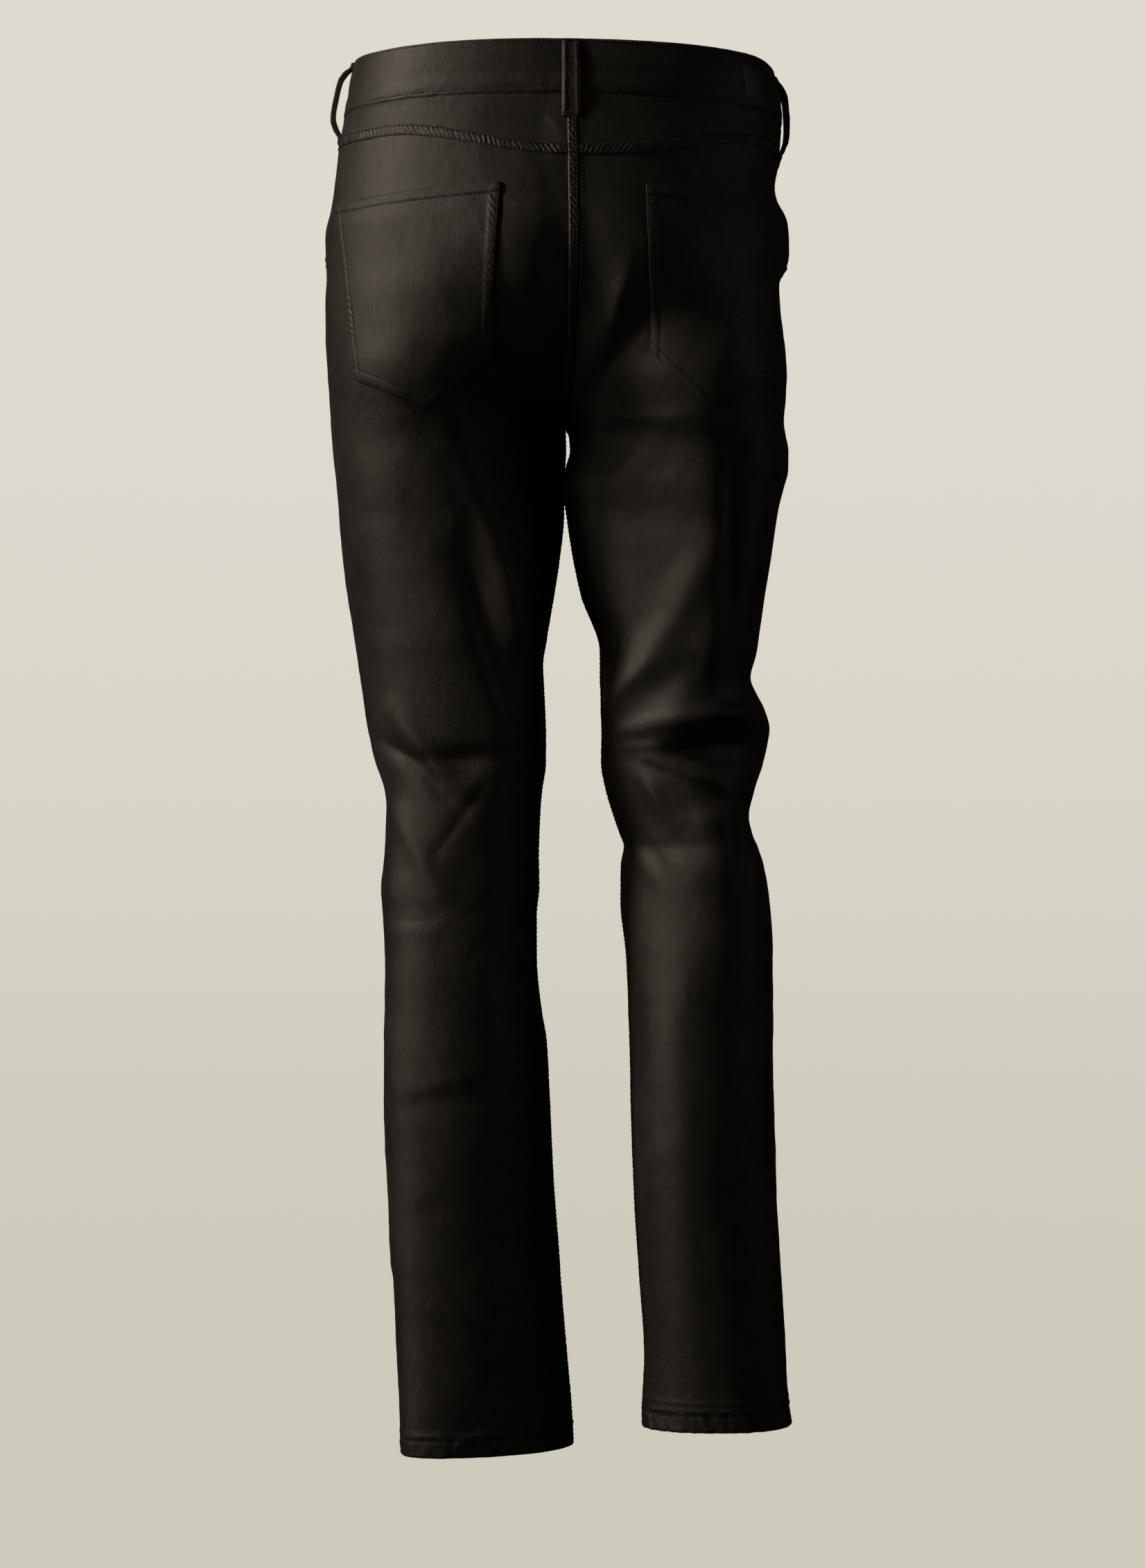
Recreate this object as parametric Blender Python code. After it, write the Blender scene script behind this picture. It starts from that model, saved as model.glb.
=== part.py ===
"""Slim trousers, worn shape: dark coated twill with a yoke back, patch pockets, a waistband with five loops and a
front fly. Metres, +Z up, the front faces -Y. Every cloth piece is a thin wall on one worked-out form."""
import math

import bmesh
import bpy
import numpy as np

# --- driving dimensions, in millimetres -------------------------------------
CLOTH = 1.2            # wall of a panel, one layer of twill
BAND_OUT, BAND_IN = 0.9, -1.5
BAND_TOP, BAND_BOTTOM = 20.0, -20.5
UNDERLAP = 32.0        # the waistband's right end runs on under its left end
YOKE_CENTRE_Z, YOKE_SIDE_RISE = -59.5, 19.5
SCOOP_U, SCOOP_DEPTH = 0.70, 104.0
HEM_DEEP, HEM_WALL = 15.0, 2.6
POCKET_LIFT, POCKET_WALL = 0.8, 1.0
LOOP_WIDTH, LOOP_WALL = 13.0, 1.6
FACING_LIFT, FACING_WALL = -3.1, 0.8
ZIP_LIFT, ZIP_WIDTH, ZIP_LONG = -2.2, 26.0, 92.0
BUTTON_RADIUS, BUTTON_TALL, BUTTON_IN = 8.5, 3.0, 15.0
BACK_COLUMNS, FRONT_COLUMNS, SCOOP_COLUMNS = 11, 5, 5

# ---------------------------------------------------------------------------
# The form: the surface that the cloth follows, in millimetres
# ---------------------------------------------------------------------------
# Each half of the garment, left or right, is one sheet. u runs round it: 0 at the centre back, or at the inseam
# below the crotch, 0.5 at the side, 1 at the centre front or the inseam again. z is the height, 0 at mid-waistband.
# "lat" is measured outwards from the middle line, as seen from behind; depths are positive towards the back.

TURN = math.radians(5.0)      # the outline below was measured from behind, turned this much to the left side
WAIST_TOP = 20.0
CROTCH_Z = -250.0
SEAT_Z = -118.0               # the centre back seam starts to curve under here
CROTCH_Y = -6.0
FRONT_DIP = 20.0              # the waistline's drop from centre back to centre front
SIDE_DIP = {"left": -2.5, "right": 5.0}
SEAM_GAP = 0.4
HEM_Z = {"left": -1016.0, "right": -999.0}

TORSO_COLUMNS = ("z", "out_left", "out_right", "back", "front", "cleft")
TORSO = (
    (26.0, 155.5, 153.5, 100.0, -105.0, 0.0),
    (0.0, 160.0, 160.5, 103.0, -108.0, 0.0),
    (-20.0, 164.0, 161.5, 106.0, -111.0, 0.0),
    (-45.0, 168.5, 160.0, 110.5, -115.0, 0.0),
    (-68.0, 171.0, 156.5, 115.0, -118.0, 0.5),
    (-90.0, 174.0, 159.5, 119.0, -120.0, 1.5),
    (-110.0, 178.5, 161.0, 124.0, -120.0, 3.5),
    (-140.0, 178.0, 160.0, 128.0, -119.0, 8.0),
    (-165.0, 179.0, 160.5, 130.5, -117.0, 13.0),
    (-190.0, 178.5, 164.0, 129.5, -114.0, 17.0),
    (-210.0, 177.3, 165.5, 126.5, -110.0, 19.0),
    (-235.0, 175.5, 164.0, 116.5, -105.0, 19.0),
    (-250.0, 174.5, 163.4, 108.0, -102.0, 18.0),
)

# A section of a leg: its outer and inner sides, its rearmost and foremost depth, the depths of the two sides,
# and how far out its rear ridge lies, as a share of its width.
LEG_COLUMNS = ("z", "out", "inn", "back", "front", "out_y", "inn_y", "ridge")
# How full the rear of a leg is between its ridge and its inner side: 2 is round, less is flatter.
FULL_COLUMNS = ("z", "left", "right")
FULLNESS = (
    (-118.0, 2.1, 2.1),
    (-190.0, 2.1, 2.0),
    (-214.0, 1.8, 1.9),
    (-250.0, 1.6, 1.65),
    (-310.0, 1.6, 1.5),
    (-355.0, 1.9, 1.5),
    (-400.0, 2.4, 1.55),
    (-450.0, 2.6, 1.8),
    (-520.0, 2.1, 1.8),
    (-570.0, 2.1, 1.7),
    (-640.0, 2.1, 2.1),
)
LEG = {
    "left": (
        (-118.0, 178.5, 0.0, 115.0, -112.0, 0.0, -6.0, 0.45),
        (-190.0, 178.5, 0.0, 115.0, -108.0, 0.0, -6.0, 0.47),
        (-214.0, 177.0, 0.0, 111.0, -105.5, 0.0, -6.0, 0.54),
        (-250.0, 174.5, 0.0, 94.0, -101.0, 0.0, -6.0, 0.56),
        (-268.0, 173.2, -0.3, 87.5, -99.0, 0.0, -8.0, 0.55),
        (-295.0, 170.6, 1.0, 83.0, -96.0, 0.0, -12.0, 0.53),
        (-317.0, 168.4, 1.2, 80.5, -94.0, 0.0, -12.0, 0.50),
        (-350.0, 165.5, 4.5, 77.0, -91.0, 0.0, -10.0, 0.46),
        (-378.0, 162.2, 8.8, 74.0, -89.0, 0.0, -8.0, 0.42),
        (-410.0, 156.8, 14.2, 71.0, -87.0, 0.0, -8.0, 0.38),
        (-431.0, 153.9, 17.1, 67.0, -85.0, 0.0, -8.0, 0.36),
        (-451.0, 151.3, 16.1, 64.0, -84.0, 0.0, -8.0, 0.36),
        (-482.0, 146.6, 15.0, 60.0, -81.0, 0.0, -8.0, 0.38),
        (-503.0, 141.5, 15.0, 58.0, -79.0, 2.0, -8.0, 0.40),
        (-523.0, 134.9, 17.6, 57.0, -76.0, 4.0, -8.0, 0.42),
        (-534.0, 133.5, 18.7, 56.0, -75.0, 6.0, -8.0, 0.42),
        (-575.0, 134.7, 20.2, 54.0, -70.0, 10.0, -10.0, 0.42),
        (-596.0, 136.3, 19.9, 54.0, -67.0, 12.0, -10.0, 0.42),
        (-617.0, 134.6, 21.8, 54.0, -64.0, 14.0, -10.0, 0.42),
        (-648.0, 133.2, 21.8, 55.0, -61.0, 16.0, -12.0, 0.42),
        (-690.0, 133.2, 18.1, 56.0, -57.0, 18.0, -14.0, 0.40),
        (-711.0, 133.8, 14.5, 56.0, -54.0, 19.0, -15.0, 0.40),
        (-752.0, 134.2, 12.2, 54.0, -48.0, 20.0, -17.0, 0.40),
        (-814.0, 132.1, 9.3, 51.0, -43.0, 21.0, -19.0, 0.40),
        (-876.0, 129.0, 4.7, 48.0, -38.0, 22.0, -21.0, 0.41),
        (-887.0, 127.0, 4.1, 47.5, -37.0, 22.0, -21.0, 0.41),
        (-949.0, 123.8, -1.0, 44.0, -31.0, 23.0, -23.0, 0.42),
        (-1000.0, 121.6, -5.2, 41.0, -27.0, 24.0, -25.0, 0.43),
        (-1020.0, 121.2, -6.0, 40.0, -26.0, 24.0, -25.0, 0.43),
    ),
    "right": (
        (-118.0, 161.0, 0.0, 113.0, -114.0, 0.0, -6.0, 0.55),
        (-190.0, 164.0, 0.0, 112.0, -112.0, 0.0, -6.0, 0.55),
        (-214.0, 165.3, 0.0, 108.5, -110.0, 0.0, -6.0, 0.55),
        (-250.0, 163.4, 0.0, 93.0, -107.0, 0.0, -6.0, 0.60),
        (-260.0, 165.0, 3.8, 89.0, -106.0, 0.0, -4.0, 0.61),
        (-270.0, 166.8, 4.4, 86.0, -105.0, 0.0, 2.0, 0.62),
        (-285.0, 166.8, 1.0, 83.5, -103.0, 0.0, 10.0, 0.65),
        (-298.0, 163.6, -1.2, 82.0, -101.0, 0.0, 14.0, 0.67),
        (-316.0, 159.2, 1.4, 80.0, -101.0, -2.0, 12.0, 0.70),
        (-350.0, 154.5, 6.8, 75.5, -101.0, -6.0, 8.0, 0.72),
        (-378.0, 149.9, 13.0, 71.5, -101.0, -8.0, 4.0, 0.72),
        (-420.0, 143.5, 26.9, 66.0, -99.0, -12.0, 0.0, 0.68),
        (-440.0, 138.9, 26.9, 62.0, -98.0, -14.0, -2.0, 0.62),
        (-450.0, 143.2, 27.4, 61.0, -96.0, -16.0, -4.0, 0.57),
        (-463.0, 150.0, 27.6, 60.0, -94.0, -18.0, -6.0, 0.52),
        (-478.0, 154.0, 28.2, 58.0, -92.0, -20.0, -8.0, 0.50),
        (-503.0, 149.2, 27.8, 54.0, -89.0, -20.0, -10.0, 0.54),
        (-523.0, 143.0, 31.2, 51.0, -87.0, -20.0, -12.0, 0.60),
        (-544.0, 138.6, 37.5, 48.0, -85.0, -18.0, -14.0, 0.66),
        (-556.0, 141.0, 41.8, 47.0, -84.5, -16.0, -15.0, 0.68),
        (-566.0, 145.0, 45.2, 46.0, -84.0, -14.0, -15.0, 0.68),
        (-580.0, 149.0, 42.9, 46.0, -80.0, -12.0, -15.0, 0.66),
        (-607.0, 152.9, 42.4, 46.0, -76.0, -11.0, -14.0, 0.60),
        (-648.0, 155.4, 46.6, 48.0, -71.0, -10.0, -12.0, 0.50),
        (-711.0, 155.4, 49.2, 52.0, -67.0, -8.0, -8.0, 0.42),
        (-762.0, 156.5, 50.2, 53.0, -62.0, -6.0, -6.0, 0.42),
        (-835.0, 159.3, 52.8, 51.0, -58.0, -6.0, -4.0, 0.42),
        (-886.0, 161.7, 56.3, 48.0, -56.0, -6.0, -4.0, 0.44),
        (-948.0, 165.3, 60.1, 43.0, -52.0, -8.0, -3.0, 0.50),
        (-985.0, 167.6, 58.4, 39.0, -47.0, -10.0, -2.0, 0.55),
        (-1005.0, 169.6, 58.2, 37.0, -45.0, -10.0, -2.0, 0.58),
    ),
}

# Folds. Each is a soft ridge (height over 0) or trough along a line, given by where it shows on its face of the
# leg: x to the right as seen from behind, and z.
FOLD_COLUMNS = ("face", "x0", "z0", "x1", "z1", "width", "height")
FOLDS = (
    # left thigh and knee, from behind
    ("back", -76.0, -354.0, -41.0, -450.0, 14.0, -5.0),
    ("back", -60.0, -300.0, -29.5, -424.0, 12.0, 2.5),
    ("back", -96.0, -500.0, -52.0, -499.0, 8.0, -3.6),
    ("back", -128.0, -464.0, -84.0, -518.0, 9.0, 3.5),
    ("back", -135.0, -487.0, -110.0, -503.0, 7.0, -2.4),
    ("back", -110.0, -503.0, -79.0, -535.0, 8.0, -3.0),
    ("back", -123.0, -540.0, -92.0, -598.0, 9.0, 2.4),
    ("back", -59.5, -522.0, -95.5, -572.0, 5.0, -0.9),
    # left calf
    ("back", -126.0, -613.0, -92.0, -613.0, 9.0, -0.8),
    ("back", -128.0, -627.0, -90.0, -627.0, 8.0, 0.6),
    ("back", -130.0, -744.0, -63.0, -731.0, 10.0, 0.8),
    ("back", -124.0, -758.0, -60.0, -746.0, 9.0, -0.7),
    # right seat, thigh and knee
    ("back", 40.0, -168.0, 22.0, -215.0, 11.0, 2.5),
    ("back", 28.0, -316.0, 108.0, -330.0, 12.0, -2.4),
    ("back", 108.0, -344.0, 72.0, -408.0, 15.0, 3.5),
    ("back", 72.0, -408.0, 29.0, -470.0, 12.0, 4.5),
    ("back", 98.0, -430.0, 50.0, -464.0, 11.0, -2.4),
    ("back", 127.0, -469.0, 80.0, -472.0, 8.0, 4.5),
    ("back", 80.0, -472.0, 38.0, -482.0, 7.0, 3.0),
    ("back", 80.0, -494.0, 104.0, -493.0, 8.0, -6.0),
    ("back", 104.0, -493.0, 143.0, -488.0, 14.0, -9.0),
    ("back", 72.0, -506.0, 106.0, -515.0, 7.0, 2.0),
    ("back", 106.0, -515.0, 127.0, -528.0, 7.0, 2.0),
    ("back", 52.0, -504.0, 86.0, -514.0, 7.0, -2.0),
    ("back", 86.0, -514.0, 117.0, -532.0, 7.0, -2.4),
    ("back", 56.0, -508.0, 80.0, -547.0, 9.0, 4.0),
    ("back", 104.0, -545.0, 128.0, -541.0, 10.0, 4.5),
    ("back", 132.0, -530.0, 130.0, -592.0, 7.0, -3.5),
    ("back", 124.0, -285.0, 122.0, -423.0, 10.0, -4.0),
    # the front
    ("front", -150.0, -300.0, -40.0, -262.0, 12.0, -3.5),
    ("front", 140.0, -296.0, 36.0, -258.0, 12.0, -3.5),
    ("front", -135.0, -345.0, -50.0, -318.0, 13.0, 3.0),
    ("front", 128.0, -352.0, 44.0, -326.0, 13.0, 3.0),
    ("front", -120.0, -520.0, -50.0, -545.0, 12.0, 4.0),
    ("front", -112.0, -565.0, -48.0, -555.0, 10.0, -4.0),
    ("front", 130.0, -500.0, 62.0, -530.0, 12.0, 4.5),
    ("front", 128.0, -556.0, 66.0, -548.0, 10.0, -4.5),
    ("front", 118.0, -640.0, 72.0, -622.0, 10.0, 3.0),
    ("front", -112.0, -660.0, -58.0, -680.0, 10.0, 3.0),
)
# How far the side seam has turned to the back.
TURNED_COLUMNS = ("z", "left", "right")
TURNED = (
    (-150.0, 0.0, 0.0),
    (-225.0, 0.0, 14.0),
    (-300.0, 0.0, 35.0),
    (-345.0, 0.0, 33.0),
    (-400.0, 0.0, 21.0),
    (-450.0, 0.0, 4.0),
    (-480.0, 0.0, 0.0),
)
# The front pockets' mouths stand off near the side seams.
POCKET_BULGE = {
    "left": {"z": -100.0, "z_half": 44.0, "u": 0.56, "u_half": 0.08, "height": 2.5},
    "right": {"z": -104.0, "z_half": 44.0, "u": 0.525, "u_half": 0.085, "height": 11.0},
}


def smooth(t):
    t = np.clip(t, 0.0, 1.0)
    return t * t * (3.0 - 2.0 * t)


def column(rows, columns, name, z):
    """A column of a table at heights z: a curve through its rows that doesn't overshoot them."""
    at = -np.array([r[columns.index("z")] for r in rows])
    v = np.array([r[columns.index(name)] for r in rows])
    step = np.diff(at)
    rise = np.diff(v) / step
    slope = np.zeros(len(v))
    slope[0], slope[-1] = rise[0], rise[-1]
    same = rise[:-1] * rise[1:] > 0
    both = rise[:-1] + rise[1:]
    slope[1:-1][same] = 2.0 * rise[:-1][same] * rise[1:][same] / both[same]
    x = np.clip(-np.asarray(z, float), at[0], at[-1])
    i = np.clip(np.searchsorted(at, x, side="right") - 1, 0, len(step) - 1)
    t = (x - at[i]) / step[i]
    h00, h10 = (1 + 2 * t) * (1 - t) ** 2, t * (1 - t) ** 2
    h01, h11 = t * t * (3 - 2 * t), t * t * (t - 1)
    return h00 * v[i] + h10 * step[i] * slope[i] + h01 * v[i + 1] + h11 * step[i] * slope[i + 1]


def even(lat, dep, n, shift=0.0):
    """The curve again, as n points evenly spaced on either side of the side seam, and the two lengths.

    The seam is at the curve's middle point, or shift mm before it."""
    along = np.concatenate([[0.0], np.cumsum(np.hypot(np.diff(lat), np.diff(dep)))])
    seam = along[(len(lat) - 1) // 2] - shift
    at = np.concatenate([np.linspace(0.0, seam, n), np.linspace(seam, along[-1], n)[1:]])
    return np.interp(at, along, lat), np.interp(at, along, dep), [seam, along[-1] - seam]


def leg_section(side, z, n):
    """One horizontal section of a leg, from the inseam round the back."""
    get = {c: float(column(LEG[side], LEG_COLUMNS, c, z)) for c in LEG_COLUMNS[1:]}
    xo, xi, yb, yf, yo, yi = (get[c] for c in ("out", "inn", "back", "front", "out_y", "inn_y"))
    lean = (yo - yi) / (xo - xi)
    yo = yi = (yo + yi) / 2
    xb = xi + (xo - xi) * get["ridge"]
    xf = xi + (xo - xi) * 0.5
    a = np.linspace(0.0, math.pi / 2, 49)
    s, c = np.sin(a) ** (2 / 2.1), np.cos(a) ** (2 / 2.1)
    full = float(column(FULLNESS, FULL_COLUMNS, side, z))
    si, ci = np.sin(a) ** (2 / full), np.cos(a) ** (2 / full)
    lat = np.concatenate([xb + (xi - xb) * ci, (xb + (xo - xb) * s)[1:], (xf + (xo - xf) * c)[1:], (xf + (xi - xf) * s)[1:]])
    dep = np.concatenate([yi + (yb - yi) * si, (yo + (yb - yo) * c)[1:], (yo + (yf - yo) * s)[1:], (yi + (yf - yi) * c)[1:]])
    return even(lat, dep + lean * (lat - (xo + xi) / 2), n, float(column(TURNED, TURNED_COLUMNS, side, z)))


def torso_section(side, z, n):
    """Half of one horizontal section of the hips, from the centre back to the centre front."""
    get = {c: float(column(TORSO, TORSO_COLUMNS, c, z)) for c in TORSO_COLUMNS[1:]}
    turned = float(column(TURNED, TURNED_COLUMNS, side, z))
    xo, yb, yf = get["out_" + side], get["back"], get["front"]
    a = np.linspace(0.0, math.pi / 2, 97)
    s, c = np.sin(a) ** (2 / 2.25), np.cos(a) ** (2 / 2.25)
    lat = np.concatenate([xo * s, (xo * c)[1:]])
    dep = np.concatenate([yb * c, (yf * s)[1:]])
    dep = dep - np.where(dep > 0, get["cleft"] * np.exp(-((lat / 30.0) ** 2)), 0.0)
    return even(lat, dep, n, turned)


class Half:
    """The sheet of one half, worked out on a fine grid of heights and u."""

    def __init__(self, side, folds, n=81, step=3.0):
        self.side = side
        self.hand = 1.0 if side == "left" else -1.0
        curve = np.linspace(0.0, math.pi / 2, 41)
        depth = SEAT_Z - CROTCH_Z
        self.z = np.concatenate(
            [
                np.arange(WAIST_TOP + 6.0, SEAT_Z, -step),
                SEAT_Z - depth * np.sin(curve),
                np.arange(CROTCH_Z - step, HEM_Z[side] - 4.0, -step),
            ]
        )
        self.u = np.linspace(0.0, 1.0, 2 * n - 1)
        sheet, self.back_len, self.front_len = [], [], []
        for z in self.z:
            t = np.clip((SEAT_Z - z) / depth, 0.0, 1.0)
            power = 0.5 + 1.3 * smooth(np.minimum(self.u, 1.0 - self.u) / 0.2)
            w = 1.0 - np.maximum(0.0, 1.0 - t * t) ** power
            tx, ty, tl = torso_section(side, max(z, CROTCH_Z), n)
            tx = tx * self.hand
            if z > SEAT_Z:
                x, y, lengths = tx, ty, tl
            else:
                lat, dep, ll = leg_section(side, z, n)
                vx = -self.hand * lat
                lx = -vx * math.cos(TURN) + dep * math.sin(TURN)
                ly = vx * math.sin(TURN) + dep * math.cos(TURN)
                x, y = (1 - w) * tx + w * lx, (1 - w) * ty + w * ly
                lengths = [(1 - w[0]) * a + w[0] * b for a, b in zip(tl, ll)]
            x = x + self.hand * SEAM_GAP / 2
            tilt = SIDE_DIP[side] * smooth((self.u - 0.34) / 0.18) * (1.0 - smooth((self.u - 0.6) / 0.35))
            drop = (FRONT_DIP * self.u ** 2 + tilt) * smooth((z + 190.0) / 130.0)
            sheet.append(np.stack([x, y, z - drop], axis=1))
            self.back_len.append(lengths[0])
            self.front_len.append(lengths[1])
        self.back_len, self.front_len = np.array(self.back_len), np.array(self.front_len)
        base = np.array(sheet)
        self.points = base + self.normals_of(base) * self.fold_heights(base, folds)[..., None]
        self.normals = self.normals_of(self.points)

    def normals_of(self, p):
        du = np.gradient(p, self.u, axis=1, edge_order=2)
        ring = self.z < CROTCH_Z - 1e-6
        du[ring, 0] = du[ring, -1] = (p[ring, 1] - p[ring, -2]) / (self.u[1] * 2.0)
        dz = np.empty_like(p)
        seg = np.linalg.norm(np.diff(p, axis=0), axis=2) + 1e-6
        dz[1:-1] = (p[2:] - p[:-2]) / (seg[1:] + seg[:-1])[..., None]
        dz[0], dz[-1] = (p[1] - p[0]) / seg[0][:, None], (p[-1] - p[-2]) / seg[-1][:, None]
        n = np.cross(du, dz) * self.hand
        return n / np.maximum(np.linalg.norm(n, axis=2, keepdims=True), 1e-9)

    def fold_heights(self, base, folds):
        n = self.normals_of(base)
        vx = -base[..., 0] * math.cos(TURN) + base[..., 1] * math.sin(TURN)
        vy = n[..., 0] * math.sin(TURN) + n[..., 1] * math.cos(TURN)
        z = base[..., 2]
        total = np.zeros(vx.shape)
        for face, x0, z0, x1, z1, width, height in folds:
            lx, lz = x1 - x0, z1 - z0
            t = np.clip(((vx - x0) * lx + (z - z0) * lz) / (lx * lx + lz * lz), 0.0, 1.0)
            far = ((vx - x0 - t * lx) ** 2 + (z - z0 - t * lz) ** 2) / width ** 2
            faces = smooth((vy if face == "back" else -vy) / 0.55)
            taper = 0.55 + 0.45 * np.sin(math.pi * np.clip(t, 0.0, 1.0))
            total += height * taper * np.exp(-far) * faces
        return total + self.mouth_bulge(self.u[None, :], self.z[:, None])

    def mouth_bulge(self, u, z):
        b = POCKET_BULGE[self.side]
        across = np.clip(1.0 - np.abs(u - b["u"]) / b["u_half"], 0.0, 1.0)
        down = np.clip(1.0 - np.abs(z - b["z"]) / b["z_half"], 0.0, 1.0)
        return b["height"] * smooth(across) * smooth(1.4 * down)

    def at(self, u, z, out=0.0):
        """Points of the sheet at u and z, moved out along its normals."""
        u, z = np.broadcast_arrays(np.asarray(u, float), np.asarray(z, float))
        i = np.clip(np.interp(-z, -self.z, np.arange(len(self.z))), 0, len(self.z) - 1.0001)
        j = np.clip(u * (len(self.u) - 1), 0, len(self.u) - 1.0001)
        i0, j0 = i.astype(int), j.astype(int)
        fi, fj = (i - i0)[..., None], (j - j0)[..., None]

        def mix(a):
            return (
                a[i0, j0] * (1 - fi) * (1 - fj)
                + a[i0 + 1, j0] * fi * (1 - fj)
                + a[i0, j0 + 1] * (1 - fi) * fj
                + a[i0 + 1, j0 + 1] * fi * fj
            )

        n = mix(self.normals)
        n = n / np.linalg.norm(n, axis=-1, keepdims=True)
        return mix(self.points) + n * np.asarray(out, float)[..., None]

    def u_at(self, s, z):
        """u at s mm round the back from the centre back or inseam."""
        return 0.5 * np.asarray(s, float) / np.interp(-np.asarray(z, float), -self.z, self.back_len)

    def u_at_x(self, x, z):
        """u where the back shows x mm to the right of the middle line, as seen from behind."""
        x, z = np.broadcast_arrays(np.asarray(x, float), np.asarray(z, float))
        far = len(self.u) // 2 + 1
        shown = -self.points[:, :far, 0] * math.cos(TURN) + self.points[:, :far, 1] * math.sin(TURN)
        i = np.clip(np.interp(-z, -self.z, np.arange(len(self.z))), 0, len(self.z) - 1.0001)
        i0 = i.astype(int)
        f = (i - i0)[..., None]
        row = (shown[i0] * (1 - f) + shown[i0 + 1] * f) * -self.hand
        want = (x * -self.hand)[..., None]
        past = np.argmax((row[..., 1:] >= want) & (row[..., :-1] < want) & (self.u[1:far] > 0.02), axis=-1)
        a = np.take_along_axis(row, past[..., None], -1)[..., 0]
        b = np.take_along_axis(row, past[..., None] + 1, -1)[..., 0]
        t = np.clip((want[..., 0] - a) / np.maximum(b - a, 1e-9), 0.0, 1.0)
        return self.u[past] + t * (self.u[1] - self.u[0])

    def u_front(self, s, z):
        """u at s mm back from the centre front, round the front."""
        return 1.0 - 0.5 * np.asarray(s, float) / np.interp(-np.asarray(z, float), -self.z, self.front_len)


# ---------------------------------------------------------------------------
# The pieces
# ---------------------------------------------------------------------------
POCKET_COLUMNS = ("corner", "x", "z")       # x to the right as seen from behind
POCKETS = {
    "left": (
        ("top_in", -45.9, -86.0),
        ("top_out", -165.7, -93.5),
        ("low_out", -151.1, -224.0),
        ("tip", -100.3, -246.0),
        ("low_in", -54.5, -211.0),
    ),
    "right": (
        ("top_in", 58.1, -87.0),
        ("top_out", 159.0, -92.0),
        ("low_out", 151.2, -222.0),
        ("tip", 104.2, -247.0),
        ("low_in", 63.2, -206.0),
    ),
}
# Belt loops: where each is centred, its top and foot, and how far its middle stands off the waistband.
LOOP_COLUMNS = ("name", "half", "from", "s", "top", "foot", "stand_off")
LOOPS = (
    ("loop_back", "left", "back", 4.5, 19.3, -37.5, 2.4),
    ("loop_side_left", "left", "side", 0.0, 19.0, -40.0, 8.6),
    ("loop_side_right", "right", "side", -5.0, 18.6, -43.0, 4.6),
    ("loop_front_left", "left", "front", 74.0, 18.6, -38.0, 2.4),
    ("loop_front_right", "right", "front", 74.0, 18.6, -38.0, 2.4),
)
PATCH = {"half": "right", "s0": 130.0, "s1": 163.0, "z0": 13.5, "z1": -13.5, "wall": 0.8}
CLOTH_COLOR = (0.012, 0.011, 0.0095, 1.0)
METAL_COLOR = (0.36, 0.34, 0.31, 1.0)


def clear_scene():
    for ob in list(bpy.data.objects):
        bpy.data.objects.remove(ob, do_unlink=True)


def material(name, color, rough, metal):
    mat = bpy.data.materials.new(name)
    mat.use_nodes = True
    shader = mat.node_tree.nodes["Principled BSDF"]
    shader.inputs["Base Color"].default_value = color
    shader.inputs["Roughness"].default_value = rough
    shader.inputs["Metallic"].default_value = metal
    mat.diffuse_color = color
    return mat


def add(name, bm, group, color=CLOTH_COLOR, rough=0.5, metal=0.0):
    bmesh.ops.recalc_face_normals(bm, faces=bm.faces[:])
    if bm.calc_volume(signed=True) < 0:
        bmesh.ops.reverse_faces(bm, faces=bm.faces[:])
    mesh = bpy.data.meshes.new(name)
    bm.to_mesh(mesh)
    bm.free()
    ob = bpy.data.objects.new(name, mesh)
    ob.data.materials.append(material(name + "_finish", color, rough, metal))
    group.objects.link(ob)
    return ob


def wall(outer, inner):
    """A closed wall between two sheets of points of the same rows and columns."""
    rows, cols = outer.shape[:2]
    bm = bmesh.new()
    place = bm.verts.layers.int.new("place")
    bmesh.ops.create_grid(bm, x_segments=cols - 1, y_segments=rows - 1, size=1.0)
    for v in bm.verts:
        i = round((1.0 - v.co.y) / 2.0 * (rows - 1))
        j = round((v.co.x + 1.0) / 2.0 * (cols - 1))
        v[place] = i * cols + j
    bmesh.ops.triangulate(bm, faces=bm.faces[:], quad_method="FIXED")
    grown = bmesh.ops.extrude_face_region(bm, geom=bm.faces[:], use_keep_orig=True)
    lower = {g for g in grown["geom"] if isinstance(g, bmesh.types.BMVert)}
    for v in bm.verts:
        i, j = divmod(v[place], cols)
        v.co = (inner if v in lower else outer)[i, j] / 1000.0
    return bm


def sheet_wall(half, u, z, lift, thick):
    """A wall on a half's sheet; lift and thick may differ from point to point."""
    lift = np.broadcast_to(lift, u.shape)
    return wall(half.at(u, z, lift), half.at(u, z, lift - thick))


def steps(a, b, size):
    n = max(1, int(round(abs(b - a) / size)))
    return list(np.linspace(a, b, n + 1)[1:])


def yoke_seam(half, u):
    s = u * 2.0 * float(np.interp(55.0, -half.z, half.back_len))
    return YOKE_CENTRE_Z + YOKE_SIDE_RISE * smooth((s - 10.0) / 140.0) - (2.0 if half.side == "right" else 0.0) * smooth((s - 20.0) / 60.0)


def leg_rows(side):
    hem = HEM_Z[side]
    rows = [SEAT_Z - (SEAT_Z - CROTCH_Z) * math.sin(a) for a in np.radians([36.0, 54.0, 72.0, 90.0])]
    rows += steps(CROTCH_Z, -430.0, 36.0) + steps(-430.0, -640.0, 15.0) + steps(-640.0, hem + HEM_DEEP + 1.0, 44.0)
    return rows + [hem + HEM_DEEP, hem]


def hem_wall(z, hem):
    return np.where(z < hem + HEM_DEEP + 0.5, HEM_WALL, CLOTH)


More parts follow.
